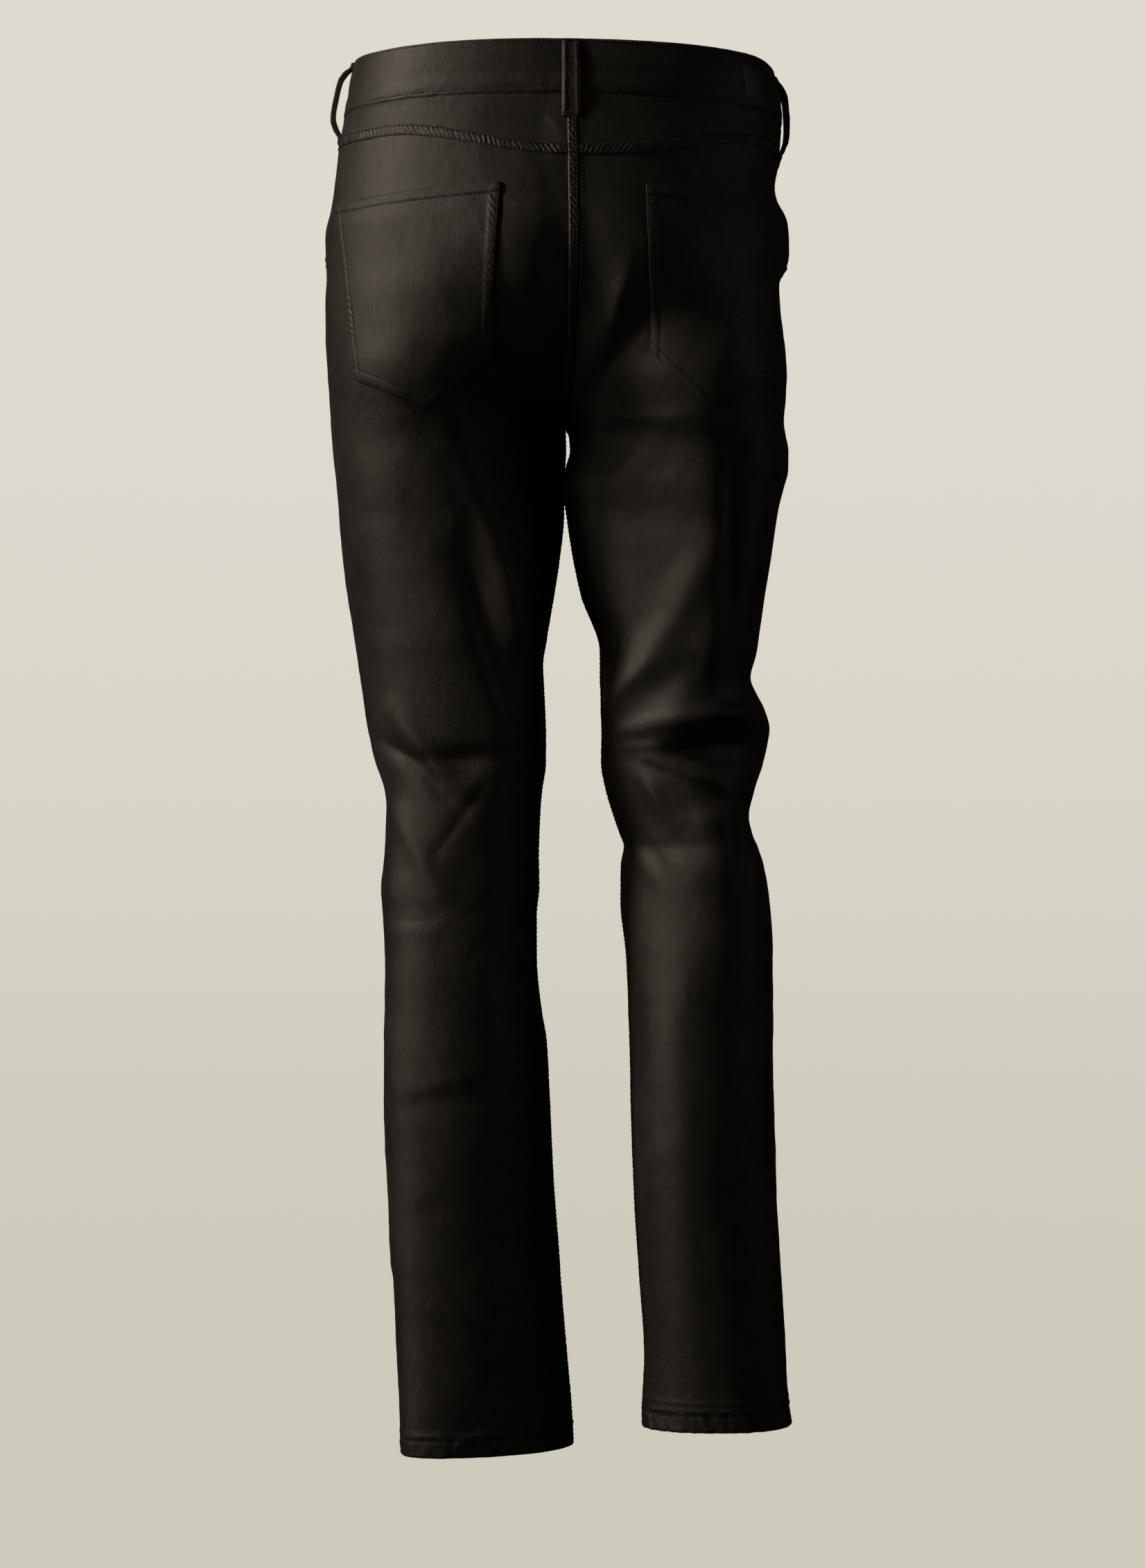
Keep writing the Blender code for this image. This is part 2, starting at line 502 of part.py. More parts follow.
def gap_u(half, z):
    """Half of the seam gap, as a share of u."""
    return 0.5 * (SEAM_GAP / 2) / np.interp(-np.asarray(z, float), -half.z, half.back_len)


def build_back(half, group):
    u0 = np.linspace(0.0, 0.5, BACK_COLUMNS + 1)
    rows = leg_rows(half.side)
    top = yoke_seam(half, u0) - SEAM_GAP / 2
    first = rows[0]
    z = [top + (first - top) * t for t in np.linspace(0.0, 1.0, 6)[:-1]] + [np.full(u0.shape, r) for r in rows]
    z = np.array(z)
    g = gap_u(half, z)
    low = np.where(z <= CROTCH_Z + 6.0, g, 0.0)
    u = low + (0.5 - g - low) * u0[None, :] / 0.5
    bm = sheet_wall(half, u, z, 0.0, hem_wall(z, HEM_Z[half.side]))
    return add("back_" + half.side, bm, group)


def build_front(half, group):
    a = np.sin(np.linspace(0.0, 1.0, SCOOP_COLUMNS + 1) ** 1.15 * math.pi / 2)
    u0 = np.concatenate([0.5 + (SCOOP_U - 0.5) * a, np.linspace(SCOOP_U, 1.0, FRONT_COLUMNS + 1)[1:]])
    top = np.full(u0.shape, BAND_BOTTOM - SEAM_GAP)
    top[: SCOOP_COLUMNS + 1] -= SCOOP_DEPTH * (1.0 - a ** 2) ** 0.45
    rows = leg_rows(half.side)
    first = rows[0]
    z = [top + (first - top) * t for t in np.linspace(0.0, 1.0, 6)[:-1]] + [np.full(u0.shape, r) for r in rows]
    z = np.array(z)
    g = gap_u(half, z)
    low = np.where(z <= CROTCH_Z + 6.0, g, 0.0)
    spread = smooth((-z - 130.0) / 160.0)
    even_u = np.linspace(0.5, 1.0, len(u0))[None, :]
    u = (1 - spread) * u0[None, :] + spread * even_u
    u = 0.5 + g + (u - 0.5) / 0.5 * (0.5 - g - low)
    bm = sheet_wall(half, u, z, 0.0, hem_wall(z, HEM_Z[half.side]))
    return add("front_" + half.side, bm, group)


def build_yoke(half, group):
    u0 = np.linspace(0.0, 0.5, BACK_COLUMNS + 1)
    top = np.full(u0.shape, BAND_BOTTOM - SEAM_GAP)
    low = yoke_seam(half, u0) + SEAM_GAP / 2
    z = np.array([top + (low - top) * t for t in (0.0, 0.5, 1.0)])
    g = gap_u(half, z)
    u = (0.5 - g) * u0[None, :] / 0.5
    return add("yoke_" + half.side, sheet_wall(half, u, z, 0.0, CLOTH), group)


def build_facing(half, group):
    """The pocket facing that shows inside the scooped mouth of a front pocket."""
    u0 = np.linspace(0.0, 1.0, 7)
    z = np.array([np.full(u0.shape, BAND_BOTTOM - SEAM_GAP + (-SCOOP_DEPTH - 18.0) * t) for t in np.linspace(0.0, 1.0, 6)])
    g = gap_u(half, z)
    u = 0.5 + g + (SCOOP_U + 0.03 - 0.5 - g) * u0[None, :]
    lift = FACING_LIFT - 0.2 * half.mouth_bulge(u, z)
    return add("pocket_facing_" + half.side, sheet_wall(half, u, z, lift, FACING_WALL), group)


def build_pocket(half, group):
    c = {r[0]: np.array(r[1:]) for r in POCKETS[half.side]}
    tip_at = 0.5
    across = np.linspace(0.0, 1.0, 9)
    x, z = np.zeros((9, 9)), np.zeros((9, 9))
    for j, a in enumerate(across):
        top = c["top_in"] * (1 - a) + c["top_out"] * a
        if a <= tip_at:
            low = c["low_in"] * (1 - a / tip_at) + c["tip"] * (a / tip_at)
        else:
            low = c["tip"] * (1 - (a - tip_at) / (1 - tip_at)) + c["low_out"] * ((a - tip_at) / (1 - tip_at))
        for i, t in enumerate(np.linspace(0.0, 1.0, 9)):
            x[i, j], z[i, j] = top * (1 - t) + low * t
    u = half.u_at_x(x, z)
    loose = np.maximum(2.8 * smooth((u - 0.22) / 0.09), smooth((-z - 165.0) / 50.0))
    bm = sheet_wall(half, u, z, POCKET_LIFT * (1.0 + loose) + POCKET_WALL, POCKET_WALL)
    return add("pocket_" + half.side, bm, group)


def waist_points(halves, p, z, out):
    """Points round the whole waist: p is u on the left half, and minus u on the right half."""
    p, z, out = np.broadcast_arrays(np.asarray(p, float), z, out)
    left, right = halves["left"].at(np.abs(p), z, out), halves["right"].at(np.abs(p), z, out)
    left[..., 0] -= SEAM_GAP / 2
    right[..., 0] += SEAM_GAP / 2
    pick = np.where(p > 0, 1.0, np.where(p < 0, 0.0, 0.5))[..., None]
    return left * pick + right * (1 - pick)


def build_waistband(halves, group):
    """One strip round the waist, open at the centre front, where its right end runs on under its left end."""
    length = float(np.interp(0.0, -halves["left"].z, halves["left"].front_len))
    under = 0.5 * UNDERLAP / length
    p = np.concatenate([np.linspace(-1.0, 0.0, 21), np.linspace(0.0, 1.0 - 0.0006, 21)[1:]])
    z = np.linspace(BAND_TOP, BAND_BOTTOM, 3)[:, None]
    sink = -(BAND_OUT - BAND_IN + SEAM_GAP) * (1.0 - smooth((p + 1.0) / (0.5 * 28.0 / length)))
    outer = waist_points(halves, p[None, :], z, BAND_OUT + sink[None, :])
    inner = waist_points(halves, p[None, :], z, BAND_IN + sink[None, :])
    q = np.linspace(1.0 - under, 1.0, 5)[:-1]
    full = -(BAND_OUT - BAND_IN + SEAM_GAP)
    tail_outer = waist_points(halves, q[None, :], z, BAND_OUT + full)
    tail_inner = waist_points(halves, q[None, :], z, BAND_IN + full)
    bm = wall(np.concatenate([tail_outer, outer], axis=1), np.concatenate([tail_inner, inner], axis=1))
    return add("waistband", bm, group)


def loop_path(top, foot, stand_off):
    """Down a belt loop: heights, and how far its underside lies from the form."""
    ends = LOOP_WALL / 2
    z = [top, top - 3.5, top - 7.5, top - 13.0]
    z += list(np.linspace(top - 13.0, foot + 15.0, 5)[1:]) + [foot + 9.0, foot + 5.0, foot]
    base = BAND_OUT + SEAM_GAP
    lift = [base, base + 0.2, base + 0.55 * (stand_off - base), base + 0.9 * (stand_off - base)]
    lift += [stand_off, stand_off, stand_off, 0.9 * stand_off, 0.5 * stand_off, SEAM_GAP + 0.15, SEAM_GAP]
    return np.array(z), np.array(lift), ends


def build_loop(row, halves, group):
    get = dict(zip(LOOP_COLUMNS, row))
    half = halves[get["half"]]
    z, lift, _ = loop_path(get["top"], get["foot"], get["stand_off"])
    across = np.linspace(-0.5, 0.5, 3) * LOOP_WIDTH
    if get["from"] == "back":
        p = half.u_at(get["s"] + across, 0.0)
    elif get["from"] == "side":
        p = 0.5 + half.u_at(get["s"] + across, 0.0)
    else:
        p = half.u_front(get["s"] - across, 0.0)
    if get["half"] == "right":
        p = -p[::-1]
    p = np.broadcast_to(p[None, :], (len(z), 3))
    z, lift = z[:, None], lift[:, None]
    bm = wall(waist_points(halves, p, z, lift + LOOP_WALL), waist_points(halves, p, z, lift))
    return add(get["name"], bm, group)


def build_patch(halves, group):
    half = halves[PATCH["half"]]
    u = half.u_at(np.linspace(PATCH["s0"], PATCH["s1"], 5), 0.0)[None, :]
    z = np.linspace(PATCH["z0"], PATCH["z1"], 3)[:, None]
    lift = BAND_OUT + SEAM_GAP
    bm = wall(waist_points(halves, -u, z, lift + PATCH["wall"]), waist_points(halves, -u, z, lift))
    return add("waist_patch", bm, group)


def build_zip(halves, group):
    """The zip behind the fly: its two tapes and the closed chain between them, one strip."""
    length = float(np.interp(60.0, -halves["left"].z, halves["left"].front_len))
    off = np.array([-0.5, -0.15, 0.0, 0.15, 0.5]) * ZIP_WIDTH
    p = np.sign(off) * (1.0 - 0.5 * np.abs(off) / length)
    z = np.linspace(BAND_BOTTOM - SEAM_GAP, BAND_BOTTOM - SEAM_GAP - ZIP_LONG, 6)[:, None]
    chain = np.where(np.abs(off) < 4.0, 1.0, 0.0)

    def row(out):
        pts = waist_points(halves, np.where(off == 0, 1.0, p)[None, :], z, out)
        pts[:, off == 0, 0] = 0.0
        return pts

    top = ZIP_LIFT
    bm = wall(row(top + 0.0 * chain[None, :]), row(top - 0.9 - chain[None, :]))
    return add("fly_zip", bm, group, rough=0.6)


def build_button(halves, group):
    """A plain tack button, turned round its own axis, on the waistband's left end."""
    half = halves["left"]
    u = half.u_front(BUTTON_IN, 0.0)
    here = half.at(u, 0.0, BAND_OUT + SEAM_GAP)
    n = half.at(u, 0.0, 1.0) - half.at(u, 0.0, 0.0)
    profile = (
        ("middle_under", 0.0, 0.25),
        ("under_edge", 0.8, 0.25),
        ("rim", 1.0, 1.1),
        ("rim_top", 0.94, BUTTON_TALL - 0.3),
        ("rim_in", 0.84, BUTTON_TALL),
        ("dish_edge", 0.72, BUTTON_TALL - 0.4),
        ("dish", 0.3, BUTTON_TALL - 0.7),
        ("middle_top", 0.0, BUTTON_TALL - 0.7),
    )
    bm = bmesh.new()
    verts = [bm.verts.new((r * BUTTON_RADIUS / 1000.0, 0.0, h / 1000.0)) for _, r, h in profile]
    edges = [bm.edges.new(pair) for pair in zip(verts, verts[1:])]
    bmesh.ops.spin(bm, geom=verts + edges, cent=(0, 0, 0), axis=(0, 0, 1), angle=2 * math.pi, steps=16, use_merge=True)
    bmesh.ops.remove_doubles(bm, verts=bm.verts[:], dist=1e-6)
    ob = add("waist_button", bm, group, METAL_COLOR, 0.35, 1.0)
    z_axis = n / np.linalg.norm(n)
    ob.location = tuple(here / 1000.0)
    tilt = math.acos(max(-1.0, min(1.0, z_axis[2])))
    turn = math.atan2(z_axis[1], z_axis[0])
    ob.rotation_euler = (0.0, tilt, turn)
    return ob


def main():
    clear_scene()
    group = bpy.data.collections.new("slim_trousers")
    bpy.context.scene.collection.children.link(group)
    halves = {side: Half(side, FOLDS) for side in ("left", "right")}
    for half in halves.values():
        build_back(half, group)
        build_front(half, group)
        build_yoke(half, group)
        build_facing(half, group)
        build_pocket(half, group)
    build_waistband(halves, group)
    for row in LOOPS:
        build_loop(row, halves, group)
    build_patch(halves, group)
    build_zip(halves, group)
    build_button(halves, group)


main()
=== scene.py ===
"""Looks of the slim trousers: dark coated twill in its worn shape, with its creases, felled seams and stitching.
Metres in the scene, millimetres in the tables and functions below. +Z up, the front faces -Y."""

import math

import bpy
import numpy as np
from mathutils import Matrix, Vector


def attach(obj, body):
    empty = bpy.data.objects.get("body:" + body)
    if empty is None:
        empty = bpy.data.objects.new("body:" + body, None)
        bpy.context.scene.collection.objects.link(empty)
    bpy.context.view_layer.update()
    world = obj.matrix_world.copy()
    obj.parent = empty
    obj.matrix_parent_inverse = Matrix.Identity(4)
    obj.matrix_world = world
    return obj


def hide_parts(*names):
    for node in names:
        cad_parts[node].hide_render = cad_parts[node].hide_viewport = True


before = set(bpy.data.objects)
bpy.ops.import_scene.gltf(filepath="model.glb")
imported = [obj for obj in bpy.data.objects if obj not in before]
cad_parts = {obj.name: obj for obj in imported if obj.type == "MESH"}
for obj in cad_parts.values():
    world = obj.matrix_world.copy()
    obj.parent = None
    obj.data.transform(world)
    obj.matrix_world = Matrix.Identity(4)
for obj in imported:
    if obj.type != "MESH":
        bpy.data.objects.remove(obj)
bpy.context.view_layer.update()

# --- named sizes, in millimetres --------------------------------------------
CLOTH = 1.2
BAND_OUT, BAND_IN = 0.9, -1.5
BAND_TOP, BAND_BOTTOM = 20.0, -20.5
UNDERLAP = 32.0
YOKE_CENTRE_Z, YOKE_SIDE_RISE = -59.5, 19.5
SCOOP_U, SCOOP_DEPTH = 0.70, 104.0
HEM_DEEP, HEM_WALL = 15.0, 2.6
POCKET_LIFT, POCKET_WALL = 0.8, 1.0
LOOP_WIDTH, LOOP_WALL = 13.0, 1.6
FACING_LIFT, FACING_WALL = -3.1, 0.8
ZIP_LIFT, ZIP_WIDTH, ZIP_LONG = -2.2, 26.0, 92.0
BUTTON_RADIUS, BUTTON_TALL, BUTTON_IN = 8.5, 3.0, 15.0
STITCH_PITCH, STITCH_LONG, STITCH_RADIUS = 3.1, 2.25, 0.38

# ---------------------------------------------------------------------------
# The form: the surface that the cloth follows, in millimetres
# ---------------------------------------------------------------------------
# Each half of the garment, left or right, is one sheet. u runs round it: 0 at the centre back, or at the inseam
# below the crotch, 0.5 at the side, 1 at the centre front or the inseam again. z is the height, 0 at mid-waistband.
# "lat" is measured outwards from the middle line, as seen from behind; depths are positive towards the back.

TURN = math.radians(5.0)      # the outline below was measured from behind, turned this much to the left side
WAIST_TOP = 20.0
CROTCH_Z = -250.0
SEAT_Z = -118.0               # the centre back seam starts to curve under here
CROTCH_Y = -6.0
FRONT_DIP = 20.0              # the waistline's drop from centre back to centre front
SIDE_DIP = {"left": -2.5, "right": 5.0}
SEAM_GAP = 0.04
HEM_Z = {"left": -1016.0, "right": -999.0}

TORSO_COLUMNS = ("z", "out_left", "out_right", "back", "front", "cleft")
TORSO = (
    (26.0, 155.5, 153.5, 100.0, -105.0, 0.0),
    (0.0, 160.0, 160.5, 103.0, -108.0, 0.0),
    (-20.0, 164.0, 161.5, 106.0, -111.0, 0.0),
    (-45.0, 168.5, 160.0, 110.5, -115.0, 0.0),
    (-68.0, 171.0, 156.5, 115.0, -118.0, 0.5),
    (-90.0, 174.0, 159.5, 119.0, -120.0, 1.5),
    (-110.0, 178.5, 161.0, 124.0, -120.0, 3.5),
    (-140.0, 178.0, 160.0, 128.0, -119.0, 8.0),
    (-165.0, 179.0, 160.5, 130.5, -117.0, 13.0),
    (-190.0, 178.5, 164.0, 129.5, -114.0, 17.0),
    (-210.0, 177.3, 165.5, 126.5, -110.0, 19.0),
    (-235.0, 175.5, 164.0, 116.5, -105.0, 19.0),
    (-250.0, 174.5, 163.4, 108.0, -102.0, 18.0),
)

# A section of a leg: its outer and inner sides, its rearmost and foremost depth, the depths of the two sides,
# and how far out its rear ridge lies, as a share of its width.
LEG_COLUMNS = ("z", "out", "inn", "back", "front", "out_y", "inn_y", "ridge")
# How full the rear of a leg is between its ridge and its inner side: 2 is round, less is flatter.
FULL_COLUMNS = ("z", "left", "right")
FULLNESS = (
    (-118.0, 2.1, 2.1),
    (-190.0, 2.1, 2.0),
    (-214.0, 1.8, 1.9),
    (-250.0, 1.6, 1.65),
    (-310.0, 1.6, 1.5),
    (-355.0, 1.9, 1.5),
    (-400.0, 2.4, 1.55),
    (-450.0, 2.6, 1.8),
    (-520.0, 2.1, 1.8),
    (-570.0, 2.1, 1.7),
    (-640.0, 2.1, 2.1),
)
LEG = {
    "left": (
        (-118.0, 178.5, 0.0, 115.0, -112.0, 0.0, -6.0, 0.45),
        (-190.0, 178.5, 0.0, 115.0, -108.0, 0.0, -6.0, 0.47),
        (-214.0, 177.0, 0.0, 111.0, -105.5, 0.0, -6.0, 0.54),
        (-250.0, 174.5, 0.0, 94.0, -101.0, 0.0, -6.0, 0.56),
        (-268.0, 173.2, -0.3, 87.5, -99.0, 0.0, -8.0, 0.55),
        (-295.0, 170.6, 1.0, 83.0, -96.0, 0.0, -12.0, 0.53),
        (-317.0, 168.4, 1.2, 80.5, -94.0, 0.0, -12.0, 0.50),
        (-350.0, 165.5, 4.5, 77.0, -91.0, 0.0, -10.0, 0.46),
        (-378.0, 162.2, 8.8, 74.0, -89.0, 0.0, -8.0, 0.42),
        (-410.0, 156.8, 14.2, 71.0, -87.0, 0.0, -8.0, 0.38),
        (-431.0, 153.9, 17.1, 67.0, -85.0, 0.0, -8.0, 0.36),
        (-451.0, 151.3, 16.1, 64.0, -84.0, 0.0, -8.0, 0.36),
        (-482.0, 146.6, 15.0, 60.0, -81.0, 0.0, -8.0, 0.38),
        (-503.0, 141.5, 15.0, 58.0, -79.0, 2.0, -8.0, 0.40),
        (-523.0, 134.9, 17.6, 57.0, -76.0, 4.0, -8.0, 0.42),
        (-534.0, 133.5, 18.7, 56.0, -75.0, 6.0, -8.0, 0.42),
        (-575.0, 134.7, 20.2, 54.0, -70.0, 10.0, -10.0, 0.42),
        (-596.0, 136.3, 19.9, 54.0, -67.0, 12.0, -10.0, 0.42),
        (-617.0, 134.6, 21.8, 54.0, -64.0, 14.0, -10.0, 0.42),
        (-648.0, 133.2, 21.8, 55.0, -61.0, 16.0, -12.0, 0.42),
        (-690.0, 133.2, 18.1, 56.0, -57.0, 18.0, -14.0, 0.40),
        (-711.0, 133.8, 14.5, 56.0, -54.0, 19.0, -15.0, 0.40),
        (-752.0, 134.2, 12.2, 54.0, -48.0, 20.0, -17.0, 0.40),
        (-814.0, 132.1, 9.3, 51.0, -43.0, 21.0, -19.0, 0.40),
        (-876.0, 129.0, 4.7, 48.0, -38.0, 22.0, -21.0, 0.41),
        (-887.0, 127.0, 4.1, 47.5, -37.0, 22.0, -21.0, 0.41),
        (-949.0, 123.8, -1.0, 44.0, -31.0, 23.0, -23.0, 0.42),
        (-1000.0, 121.6, -5.2, 41.0, -27.0, 24.0, -25.0, 0.43),
        (-1020.0, 121.2, -6.0, 40.0, -26.0, 24.0, -25.0, 0.43),
    ),
    "right": (
        (-118.0, 161.0, 0.0, 113.0, -114.0, 0.0, -6.0, 0.55),
        (-190.0, 164.0, 0.0, 112.0, -112.0, 0.0, -6.0, 0.55),
        (-214.0, 165.3, 0.0, 108.5, -110.0, 0.0, -6.0, 0.55),
        (-250.0, 163.4, 0.0, 93.0, -107.0, 0.0, -6.0, 0.60),
        (-260.0, 165.0, 3.8, 89.0, -106.0, 0.0, -4.0, 0.61),
        (-270.0, 166.8, 4.4, 86.0, -105.0, 0.0, 2.0, 0.62),
        (-285.0, 166.8, 1.0, 83.5, -103.0, 0.0, 10.0, 0.65),
        (-298.0, 163.6, -1.2, 82.0, -101.0, 0.0, 14.0, 0.67),
        (-316.0, 159.2, 1.4, 80.0, -101.0, -2.0, 12.0, 0.70),
        (-350.0, 154.5, 6.8, 75.5, -101.0, -6.0, 8.0, 0.72),
        (-378.0, 149.9, 13.0, 71.5, -101.0, -8.0, 4.0, 0.72),
        (-420.0, 143.5, 26.9, 66.0, -99.0, -12.0, 0.0, 0.68),
        (-440.0, 138.9, 26.9, 62.0, -98.0, -14.0, -2.0, 0.62),
        (-450.0, 143.2, 27.4, 61.0, -96.0, -16.0, -4.0, 0.57),
        (-463.0, 150.0, 27.6, 60.0, -94.0, -18.0, -6.0, 0.52),
        (-478.0, 154.0, 28.2, 58.0, -92.0, -20.0, -8.0, 0.50),
        (-503.0, 149.2, 27.8, 54.0, -89.0, -20.0, -10.0, 0.54),
        (-523.0, 143.0, 31.2, 51.0, -87.0, -20.0, -12.0, 0.60),
        (-544.0, 138.6, 37.5, 48.0, -85.0, -18.0, -14.0, 0.66),
        (-556.0, 141.0, 41.8, 47.0, -84.5, -16.0, -15.0, 0.68),
        (-566.0, 145.0, 45.2, 46.0, -84.0, -14.0, -15.0, 0.68),
        (-580.0, 149.0, 42.9, 46.0, -80.0, -12.0, -15.0, 0.66),
        (-607.0, 152.9, 42.4, 46.0, -76.0, -11.0, -14.0, 0.60),
        (-648.0, 155.4, 46.6, 48.0, -71.0, -10.0, -12.0, 0.50),
        (-711.0, 155.4, 49.2, 52.0, -67.0, -8.0, -8.0, 0.42),
        (-762.0, 156.5, 50.2, 53.0, -62.0, -6.0, -6.0, 0.42),
        (-835.0, 159.3, 52.8, 51.0, -58.0, -6.0, -4.0, 0.42),
        (-886.0, 161.7, 56.3, 48.0, -56.0, -6.0, -4.0, 0.44),
        (-948.0, 165.3, 60.1, 43.0, -52.0, -8.0, -3.0, 0.50),
        (-985.0, 167.6, 58.4, 39.0, -47.0, -10.0, -2.0, 0.55),
        (-1005.0, 169.6, 58.2, 37.0, -45.0, -10.0, -2.0, 0.58),
    ),
}

# Folds. Each is a soft ridge (height over 0) or trough along a line, given by where it shows on its face of the
# leg: x to the right as seen from behind, and z.
FOLD_COLUMNS = ("face", "x0", "z0", "x1", "z1", "width", "height")
FOLDS = (
    # left thigh and knee, from behind
    ("back", -76.0, -354.0, -41.0, -450.0, 14.0, -5.0),
    ("back", -60.0, -300.0, -29.5, -424.0, 12.0, 2.5),
    ("back", -96.0, -500.0, -52.0, -499.0, 8.0, -3.6),
    ("back", -128.0, -464.0, -84.0, -518.0, 9.0, 3.5),
    ("back", -135.0, -487.0, -110.0, -503.0, 7.0, -2.4),
    ("back", -110.0, -503.0, -79.0, -535.0, 8.0, -3.0),
    ("back", -123.0, -540.0, -92.0, -598.0, 9.0, 2.4),
    ("back", -59.5, -522.0, -95.5, -572.0, 5.0, -0.9),
    # left calf
    ("back", -126.0, -613.0, -92.0, -613.0, 9.0, -0.8),
    ("back", -128.0, -627.0, -90.0, -627.0, 8.0, 0.6),
    ("back", -130.0, -744.0, -63.0, -731.0, 10.0, 0.8),
    ("back", -124.0, -758.0, -60.0, -746.0, 9.0, -0.7),
    # right seat, thigh and knee
    ("back", 40.0, -168.0, 22.0, -215.0, 11.0, 2.5),
    ("back", 28.0, -316.0, 108.0, -330.0, 12.0, -2.4),
    ("back", 108.0, -344.0, 72.0, -408.0, 15.0, 3.5),
    ("back", 72.0, -408.0, 29.0, -470.0, 12.0, 4.5),
    ("back", 98.0, -430.0, 50.0, -464.0, 11.0, -2.4),
    ("back", 127.0, -469.0, 80.0, -472.0, 8.0, 4.5),
    ("back", 80.0, -472.0, 38.0, -482.0, 7.0, 3.0),
    ("back", 80.0, -494.0, 104.0, -493.0, 8.0, -6.0),
    ("back", 104.0, -493.0, 143.0, -488.0, 14.0, -9.0),
    ("back", 72.0, -506.0, 106.0, -515.0, 7.0, 2.0),
    ("back", 106.0, -515.0, 127.0, -528.0, 7.0, 2.0),
    ("back", 52.0, -504.0, 86.0, -514.0, 7.0, -2.0),
    ("back", 86.0, -514.0, 117.0, -532.0, 7.0, -2.4),
    ("back", 56.0, -508.0, 80.0, -547.0, 9.0, 4.0),
    ("back", 104.0, -545.0, 128.0, -541.0, 10.0, 4.5),
    ("back", 132.0, -530.0, 130.0, -592.0, 7.0, -3.5),
    ("back", 124.0, -285.0, 122.0, -423.0, 10.0, -4.0),
    # the front
    ("front", -150.0, -300.0, -40.0, -262.0, 12.0, -3.5),
    ("front", 140.0, -296.0, 36.0, -258.0, 12.0, -3.5),
    ("front", -135.0, -345.0, -50.0, -318.0, 13.0, 3.0),
    ("front", 128.0, -352.0, 44.0, -326.0, 13.0, 3.0),
    ("front", -120.0, -520.0, -50.0, -545.0, 12.0, 4.0),
    ("front", -112.0, -565.0, -48.0, -555.0, 10.0, -4.0),
    ("front", 130.0, -500.0, 62.0, -530.0, 12.0, 4.5),
    ("front", 128.0, -556.0, 66.0, -548.0, 10.0, -4.5),
    ("front", 118.0, -640.0, 72.0, -622.0, 10.0, 3.0),
    ("front", -112.0, -660.0, -58.0, -680.0, 10.0, 3.0),
)
